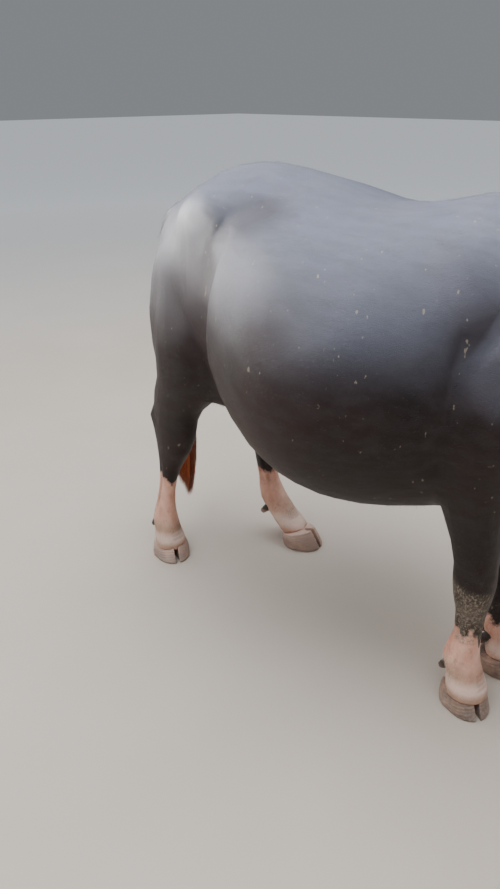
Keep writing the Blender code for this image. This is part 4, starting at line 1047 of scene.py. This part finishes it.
def readPlace(tree):
    source = addNode(tree, "TexCoord").outputs["Object"]
    return source, addNode(tree, "SeparateXYZ", {"Vector": source}).outputs


def readField(tree, name):
    return addNode(tree, "Attribute", attribute_name=name).outputs["Fac"]


def readMarks(tree, name):  # the four fields of a colour attribute
    marks = addNode(tree, "Attribute", attribute_name=name).outputs
    split = addNode(tree, "SeparateColor", {"Color": marks["Color"]})
    return *split.outputs, marks["Alpha"]


def newGroup(name, result, **amounts):  # a shared effect that reads a place and some amounts
    group = bpy.data.node_groups.new(name, "ShaderNodeTree")
    group.interface.new_socket(name="source", in_out="INPUT", socket_type="NodeSocketVector")
    for key, value in amounts.items():
        socket = group.interface.new_socket(name=key, in_out="INPUT", socket_type="NodeSocketFloat")
        socket.default_value = value
    group.interface.new_socket(name=result, in_out="OUTPUT", socket_type="NodeSocketFloat")
    return group, group.nodes.new("NodeGroupInput").outputs, group.nodes.new("NodeGroupOutput")


def addGroup(tree, group, source, **amounts):
    return addNode(tree, "Group", {"source": source, **amounts}, node_tree=group).outputs[0]


def makeGrainGroup():  # fine pores and crossing creases as a height, for hide, horn and claws
    group, entry, leave = newGroup("hideGrain", "height", poreScale=420.0, creaseScale=70.0)
    cells = addNode(group, "TexVoronoi", {"Vector": entry["source"], "Scale": entry["poreScale"]},
                    feature="DISTANCE_TO_EDGE")
    pores = times(group, addRange(group, cells.outputs["Distance"], 0.0, 0.25), 0.35)
    creases = addNoise(group, entry["source"], entry["creaseScale"], 8.0, 0.62)
    plugIn(group, leave, {"height": addMath(group, "ADD", pores, creases)})
    return group


def makeDustGroup():  # patchy dust and dried mud flecks as a mask
    group, entry, leave = newGroup("farmDust", "mask", amount=0.3)
    patches = addRange(group, addNoise(group, entry["source"], 9.0, 6.0, 0.65), 0.42, 0.72)
    flecks = addRange(group, addNoise(group, entry["source"], 130.0, 3.0, 0.6), 0.45, 0.70)
    both = addMath(group, "ADD", times(group, patches, flecks), times(group, patches, 0.35))
    plugIn(group, leave, {"mask": times(group, both, entry["amount"], clamp=True)})
    return group


def makePaleGroup():  # the ragged edge of the pale hair, from its soft field
    group, entry, leave = newGroup("paleEdge", "mask", amount=0.0)
    rough = times(group, addNoise(group, entry["source"], 85.0, 5.0, 0.7), 0.50)
    broad = times(group, addNoise(group, entry["source"], 22.0, 3.0, 0.5), 0.60)
    shift = addMath(group, "SUBTRACT", addMath(group, "ADD", rough, broad), 0.55)
    total = addMath(group, "ADD", entry["amount"], shift)
    plugIn(group, leave, {"mask": addRange(group, total, 0.42, 0.58)})
    return group


grainGroup, dustGroup, paleGroup = makeGrainGroup(), makeDustGroup(), makePaleGroup()
hidePlan = {
    "dark": (0.0078, 0.0034, 0.0034), "warm": (0.0170, 0.0060, 0.0050), "paintedSheenSlate": (0.105, 0.104, 0.133),
    "streak": (0.040, 0.038, 0.039), "speck": (0.052, 0.047, 0.046), "black": (0.020, 0.019, 0.021),
    "pale": (0.86, 0.52, 0.385), "pink": (0.58, 0.25, 0.17), "mottle": (0.17, 0.11, 0.10),
    "stain": (0.36, 0.25, 0.16), "coronet": (0.88, 0.64, 0.53), "nose": (0.030, 0.026, 0.027),
    "fold": (0.35, 0.30, 0.30), "mud": (0.30, 0.235, 0.165), "dust": (0.33, 0.27, 0.22),
    "roughness": 0.44, "shine": 0.27,
}


def makeHide():
    material, tree, shader = newMaterial("hide", hidePlan["roughness"])
    source, place = readPlace(tree)
    paleField, noseField, foldField, dustAndHighlightField = readMarks(tree, "marks")
    slow = addNoise(tree, source, 2.4, 5.0, 0.6)
    streaks = addNoise(tree, source, 34.0, 5.0, 0.6, (0.35, 1.0, 1.0))
    fine = addNoise(tree, source, 190.0, 4.0, 0.6)
    # dark hide with a painted sheen: slate above and where the hide faces up, so browner and darker low down;
    # and blacker on the neck and face
    paintedSheenLevel = addMath(tree, "ADD", readField(tree, "paintedSheen"), times(tree, slow, 0.5))
    dark = paintOver(
        tree, hidePlan["dark"],
        (addRange(tree, slow, 0.40, 0.62), hidePlan["warm"]),
        (addRange(tree, paintedSheenLevel, 0.30, 1.55), hidePlan["paintedSheenSlate"]),
        (addRange(tree, streaks, 0.42, 0.75, 0.0, 0.35), hidePlan["streak"]),
        (addRange(tree, fine, 0.58, 0.80, 0.0, 0.30), hidePlan["speck"]),
        (addRange(tree, place["X"], 0.42, 0.78, 0.0, 0.78), hidePlan["black"]))
    # pale hair over pink skin, with grey patches, stained low down and paler at the coronet
    patches = addNoise(tree, source, 11.0, 5.0, 0.62, (1.0, 1.0, 0.55))
    spots = addRange(tree, addNoise(tree, source, 34.0, 5.0, 0.6), 0.56, 0.66, 0.0, 0.7)
    stain = times(tree, addRange(tree, place["Z"], 0.17, 0.13), addRange(tree, slow, 0.42, 0.60, 0.0, 0.55))
    band = times(tree, addRange(tree, place["Z"], 0.060, 0.078),
                 addRange(tree, place["Z"], 0.118, 0.092, 0.0, 0.75))
    pale = paintOver(
        tree, hidePlan["pale"],
        (addRange(tree, patches, 0.38, 0.66), hidePlan["pink"]),
        (times(tree, spots, addRange(tree, patches, 0.50, 0.62)), hidePlan["mottle"]),
        (stain, hidePlan["stain"]),
        (band, hidePlan["coronet"]))
    # painted shade in the folds and nostrils, dust with a painted highlight on the pin bone, caked mud with
    # straw in it, and a few straws elsewhere
    paleMask = addGroup(tree, paleGroup, source, amount=paleField)
    dust = addGroup(tree, dustGroup, source, amount=dustAndHighlightField)
    straw = addNoise(tree, source, 190.0, 4.0, 0.65, (1.0, 1.0, 0.7))
    mud = addRange(tree, dustAndHighlightField, 0.55, 0.85)
    caked = times(tree, mud, addRange(tree, straw, 0.50, 0.62, 0.10, 0.90))
    stray = addRange(tree, addNoise(tree, source, 70.0, 2.0, 0.5, (1.0, 1.0, 0.5)), 0.71, 0.75, 0.0, 0.5)
    colour = paintOver(tree, dark, (paleMask, pale), (times(tree, noseField, 0.92), hidePlan["nose"]))
    # painted shade: the folds and nostrils darkened by multiplying
    colour = addMix(tree, times(tree, foldField, 0.45), colour, hidePlan["fold"], "MULTIPLY")
    colour = paintOver(tree, colour, (times(tree, dust, 0.8), hidePlan["dust"]), (caked, hidePlan["mud"]),
                       (stray, hidePlan["mud"]))
    # gloss: oily back, duller legs and dust, wet nose
    rough = addMath(tree, "ADD", addRange(tree, slow, 0.35, 0.65, 0.40, 0.50), times(tree, paleMask, 0.16))
    rough = addMath(tree, "ADD", rough, times(tree, dust, 0.25))
    rough = addMath(tree, "SUBTRACT", rough, times(tree, noseField, 0.20), clamp=True)
    plugIn(tree, shader, {"Base Color": colour, "Roughness": rough})
    # the plain value is what the export keeps where it drops the link
    plugIn(tree, shader, {"Specular IOR Level": hidePlan["shine"]})
    plugIn(tree, shader, {"Specular IOR Level": times(tree, readField(tree, "gloss"), hidePlan["shine"])})
    grain = addGroup(tree, grainGroup, source, poreScale=430.0, creaseScale=62.0)
    pebbles = addNode(tree, "TexVoronoi", {"Vector": source, "Scale": 260.0}, feature="SMOOTH_F1")
    addBumps(tree, shader, (grain, 0.32, 0.004), (streaks, 0.10, 0.006),
             (times(tree, pebbles.outputs["Distance"], noseField), 0.5, 0.003),
             (times(tree, straw, mud), 0.8, 0.006))
    return material


clawLook = {"brown": (0.12, 0.070, 0.050), "tan": (0.42, 0.25, 0.175), "band": (0.22, 0.155, 0.12),
            "hind": (0.62, 0.41, 0.32), "dewclaw": (0.040, 0.027, 0.021), "roughness": 0.55}


def makeClawMaterial():
    material, tree, shader = newMaterial("clawHorn", clawLook["roughness"])
    source, place = readPlace(tree)
    broad = addNoise(tree, source, 16.0, 5.0, 0.6)
    bands = addNoise(tree, source, 30.0, 4.0, 0.6, (0.4, 0.4, 3.2))
    # the hind claws are paler, most of all under the coronet
    hind = times(tree, addRange(tree, place["X"], -0.30, -0.50, 0.0, 0.75),
                 addRange(tree, place["Z"], 0.020, 0.060, 0.45, 1.0))
    dust = addGroup(tree, dustGroup, source, amount=1.6)
    colour = paintOver(
        tree, clawLook["brown"],
        (addRange(tree, broad, 0.38, 0.62), clawLook["tan"]),
        (addRange(tree, bands, 0.45, 0.65, 0.0, 0.6), clawLook["band"]),
        (hind, clawLook["hind"]),
        (times(tree, dust, addRange(tree, place["Z"], 0.045, 0.004), clamp=True), hidePlan["dust"]),
        (addRange(tree, place["Z"], 0.082, 0.105), clawLook["dewclaw"]))
    plugIn(tree, shader, {"Base Color": colour, "Roughness": addRange(tree, broad, 0.3, 0.7, 0.48, 0.68)})
    grain = addGroup(tree, grainGroup, source, poreScale=300.0, creaseScale=90.0)
    addBumps(tree, shader, (bands, 0.35, 0.003), (grain, 0.25, 0.002))
    return material


hornLook = {"black": (0.016, 0.015, 0.014), "grey": (0.055, 0.046, 0.039), "ring": (0.09, 0.077, 0.064),
            "tip": (0.012, 0.011, 0.011), "roughness": 0.42}


def makeHornMaterial():
    material, tree, shader = newMaterial("hornKeratin", hornLook["roughness"])
    source, _ = readPlace(tree)
    growth = readField(tree, "growth")
    broad = addNoise(tree, source, 40.0, 5.0, 0.65)
    line = addMath(tree, "ADD", times(tree, growth, 160.0), times(tree, broad, 6.0))
    rings = addMath(tree, "SINE", line)
    colour = paintOver(
        tree, hornLook["black"],
        (addRange(tree, broad, 0.38, 0.64), hornLook["grey"]),
        (addRange(tree, rings, 0.2, 1.0, 0.0, 0.30), hornLook["ring"]),
        (addRange(tree, growth, 0.75, 1.0, 0.0, 0.6), hornLook["tip"]))
    plugIn(tree, shader, {"Base Color": colour, "Roughness": addRange(tree, broad, 0.3, 0.7, 0.34, 0.54)})
    grain = addGroup(tree, grainGroup, source, poreScale=500.0, creaseScale=150.0)
    addBumps(tree, shader, (rings, 0.25, 0.002), (grain, 0.22, 0.002))
    return material


eyeLook = {"white": (0.34, 0.26, 0.22), "vein": (0.14, 0.08, 0.06), "blue": (0.20, 0.32, 0.42),
           "fibre": (0.46, 0.60, 0.70), "rim": (0.045, 0.045, 0.05), "pupil": (0.004, 0.004, 0.005),
           "roughness": 0.06, "wet": 1.0, "wetRoughness": 0.02}


def makeEyeMaterial():
    material, tree, shader = newMaterial("wallEye", eyeLook["roughness"])
    onIris, onPupil, spread, _ = readMarks(tree, "iris")
    source, _ = readPlace(tree)
    fibres = addNoise(tree, source, 620.0, 4.0, 0.7)
    white = addMix(tree, addRange(tree, fibres, 0.4, 0.7, 0.0, 0.5), eyeLook["white"], eyeLook["vein"])
    iris = paintOver(tree, eyeLook["blue"], (addRange(tree, fibres, 0.38, 0.66), eyeLook["fibre"]),
                     (addRange(tree, spread, 0.72, 1.0, 0.0, 0.85), eyeLook["rim"]))
    colour = paintOver(tree, white, (addRange(tree, onIris, 0.35, 0.6), iris),
                       (addRange(tree, onPupil, 0.4, 0.6), eyeLook["pupil"]))
    plugIn(tree, shader, {"Base Color": colour, "Coat Weight": eyeLook["wet"],
                          "Coat Roughness": eyeLook["wetRoughness"]})
    return material


hairLook = {"black": (0.014, 0.013, 0.014), "brown": (0.040, 0.036, 0.036), "tip": (0.090, 0.080, 0.076),
            "cream": (0.66, 0.44, 0.33), "white": (0.78, 0.66, 0.56), "rust": (0.14, 0.020, 0.005),
            "copper": (0.55, 0.125, 0.028), "roughness": 0.48, "brushRoughness": 0.42, "shine": 0.35}


def makeHairMaterial():  # short hair with the hide's own markings
    material, tree, shader = newMaterial("coatHair", hairLook["roughness"])
    source, _ = readPlace(tree)
    paleField, tint, _, _ = readMarks(tree, "marks")
    dark = addMix(tree, tint, hairLook["black"], hairLook["brown"])
    dark = addMix(tree, times(tree, readField(tree, "along"), 0.5), dark, hairLook["tip"])
    pale = addMix(tree, tint, hairLook["cream"], hairLook["white"])
    colour = addMix(tree, addGroup(tree, paleGroup, source, amount=paleField), dark, pale)
    plugIn(tree, shader, {"Base Color": colour, "Specular IOR Level": hairLook["shine"]})
    return material


def makeBrushMaterial():
    material, tree, shader = newMaterial("switchHair", hairLook["brushRoughness"])
    _, tint, _, _ = readMarks(tree, "marks")
    _, place = readPlace(tree)
    colour = addMix(tree, tint, hairLook["rust"], hairLook["copper"])
    colour = addMix(tree, addRange(tree, place["Z"], 0.54, 0.64), colour, hairLook["black"])
    plugIn(tree, shader, {"Base Color": colour})
    return material


def dress(material, pieces):
    for piece in pieces:
        piece.data.materials.clear()
        piece.data.materials.append(material)


dress(makeHairMaterial(), coatPieces)
dress(makeBrushMaterial(), [brush])
dress(makeHide(), [skin])
dress(makeClawMaterial(), [claws])
dress(makeHornMaterial(), horns)
dress(makeEyeMaterial(), eyes)
print("materials done")

# floor, light and camera
stagePlan = {
    "world": (0.84, 0.88, 0.94), "worldStrength": 0.27, "roofStrength": 1.2, "roofColour": (0.90, 0.95, 1.0),
    "sand": (0.47, 0.385, 0.31), "paleSand": (0.50, 0.41, 0.335), "far": (0.86, 0.86, 0.86), "floorSize": 40.0,
    "panels": {  # place, target, size, energy, colour, spread
        "skyPanel": ((-0.5, -0.4, 4.2), (-0.2, -0.1, 0.9), (6.5, 5.5), 500.0, (0.82, 0.91, 1.0), 180.0),
        "rearPanel": ((-3.5, -0.95, 2.0), (-0.45, -0.2, 1.28), (1.3, 0.9), 13.0, (1.0, 0.98, 0.95), 30.0),
        "sidePanel": ((1.0, -4.4, 2.2), (0, 0, 0.8), (3.0, 2.0), 6.0, (1.0, 0.97, 0.93), 180.0),
    },
}
cameraPlan = {"spot": (1.187, -1.601, 1.55), "yaw": 43.6, "pitch": 26.3, "focalPixels": 717.0, "pixels": 889,
              "sensor": 36}


def buildFloor():
    bm = bmesh.new()
    bmesh.ops.create_grid(bm, x_segments=2, y_segments=2, size=stagePlan["floorSize"])
    floor = linkObject("floor", meshFrom(bm, "floor"))
    material, tree, shader = newMaterial("paleFloor", 0.8)
    source, _ = readPlace(tree)
    reach = addNode(tree, "VectorMath", {0: source}, operation="LENGTH").outputs["Value"]
    cloud = addNoise(tree, source, 1.6, 3.0, 0.5)
    # paler with distance: painted light that makes up for the panels' light falling off far out
    colour = paintOver(tree, stagePlan["sand"], (addRange(tree, cloud, 0.35, 0.65), stagePlan["paleSand"]),
                       (addRange(tree, reach, 3.0, 10.0), stagePlan["far"]))
    plugIn(tree, shader, {"Base Color": colour})
    dress(material, [floor])


def lightScene():
    world = bpy.data.worlds.new("studio")
    scene.world = world
    world.use_nodes = True
    plugIn(world.node_tree, world.node_tree.nodes["Background"],
           {"Color": stagePlan["world"], "Strength": stagePlan["worldStrength"]})
    for name, (spot, target, size, energy, colour, spread) in stagePlan["panels"].items():
        lamp = bpy.data.lights.new(name, "AREA")
        lamp.shape = "RECTANGLE"
        lamp.size, lamp.size_y = size
        lamp.energy, lamp.color, lamp.spread = energy, colour, math.radians(spread)
        panel = linkObject(name, lamp)
        panel.location = spot
        panel.rotation_euler = (Vector(target) - Vector(spot)).to_track_quat("-Z", "Y").to_euler()
    roof = bpy.data.lights.new("roofLight", "SUN")
    roof.energy, roof.angle, roof.color = stagePlan["roofStrength"], math.radians(100), stagePlan["roofColour"]
    linkObject("roofLight", roof).location = (0, 0, 6)


def placeCamera():
    data = bpy.data.cameras.new("photoCamera")
    data.sensor_width = cameraPlan["sensor"]
    data.lens = cameraPlan["focalPixels"] / cameraPlan["pixels"] * cameraPlan["sensor"]
    data.clip_end = 60
    camera = linkObject("photoCamera", data)
    yaw, pitch = math.radians(cameraPlan["yaw"]), math.radians(cameraPlan["pitch"])
    level = Vector((-math.sin(yaw), math.cos(yaw), 0))
    right = Vector((math.cos(yaw), math.sin(yaw), 0))
    forward = level * math.cos(pitch) - Vector((0, 0, 1)) * math.sin(pitch)
    turn = Matrix((right, right.cross(forward), -forward)).transposed().to_4x4()
    camera.matrix_world = Matrix.Translation(bodyPlace(*cameraPlan["spot"])) @ turn
    scene.camera = camera


buildFloor()
lightScene()
placeCamera()
print("stage done")
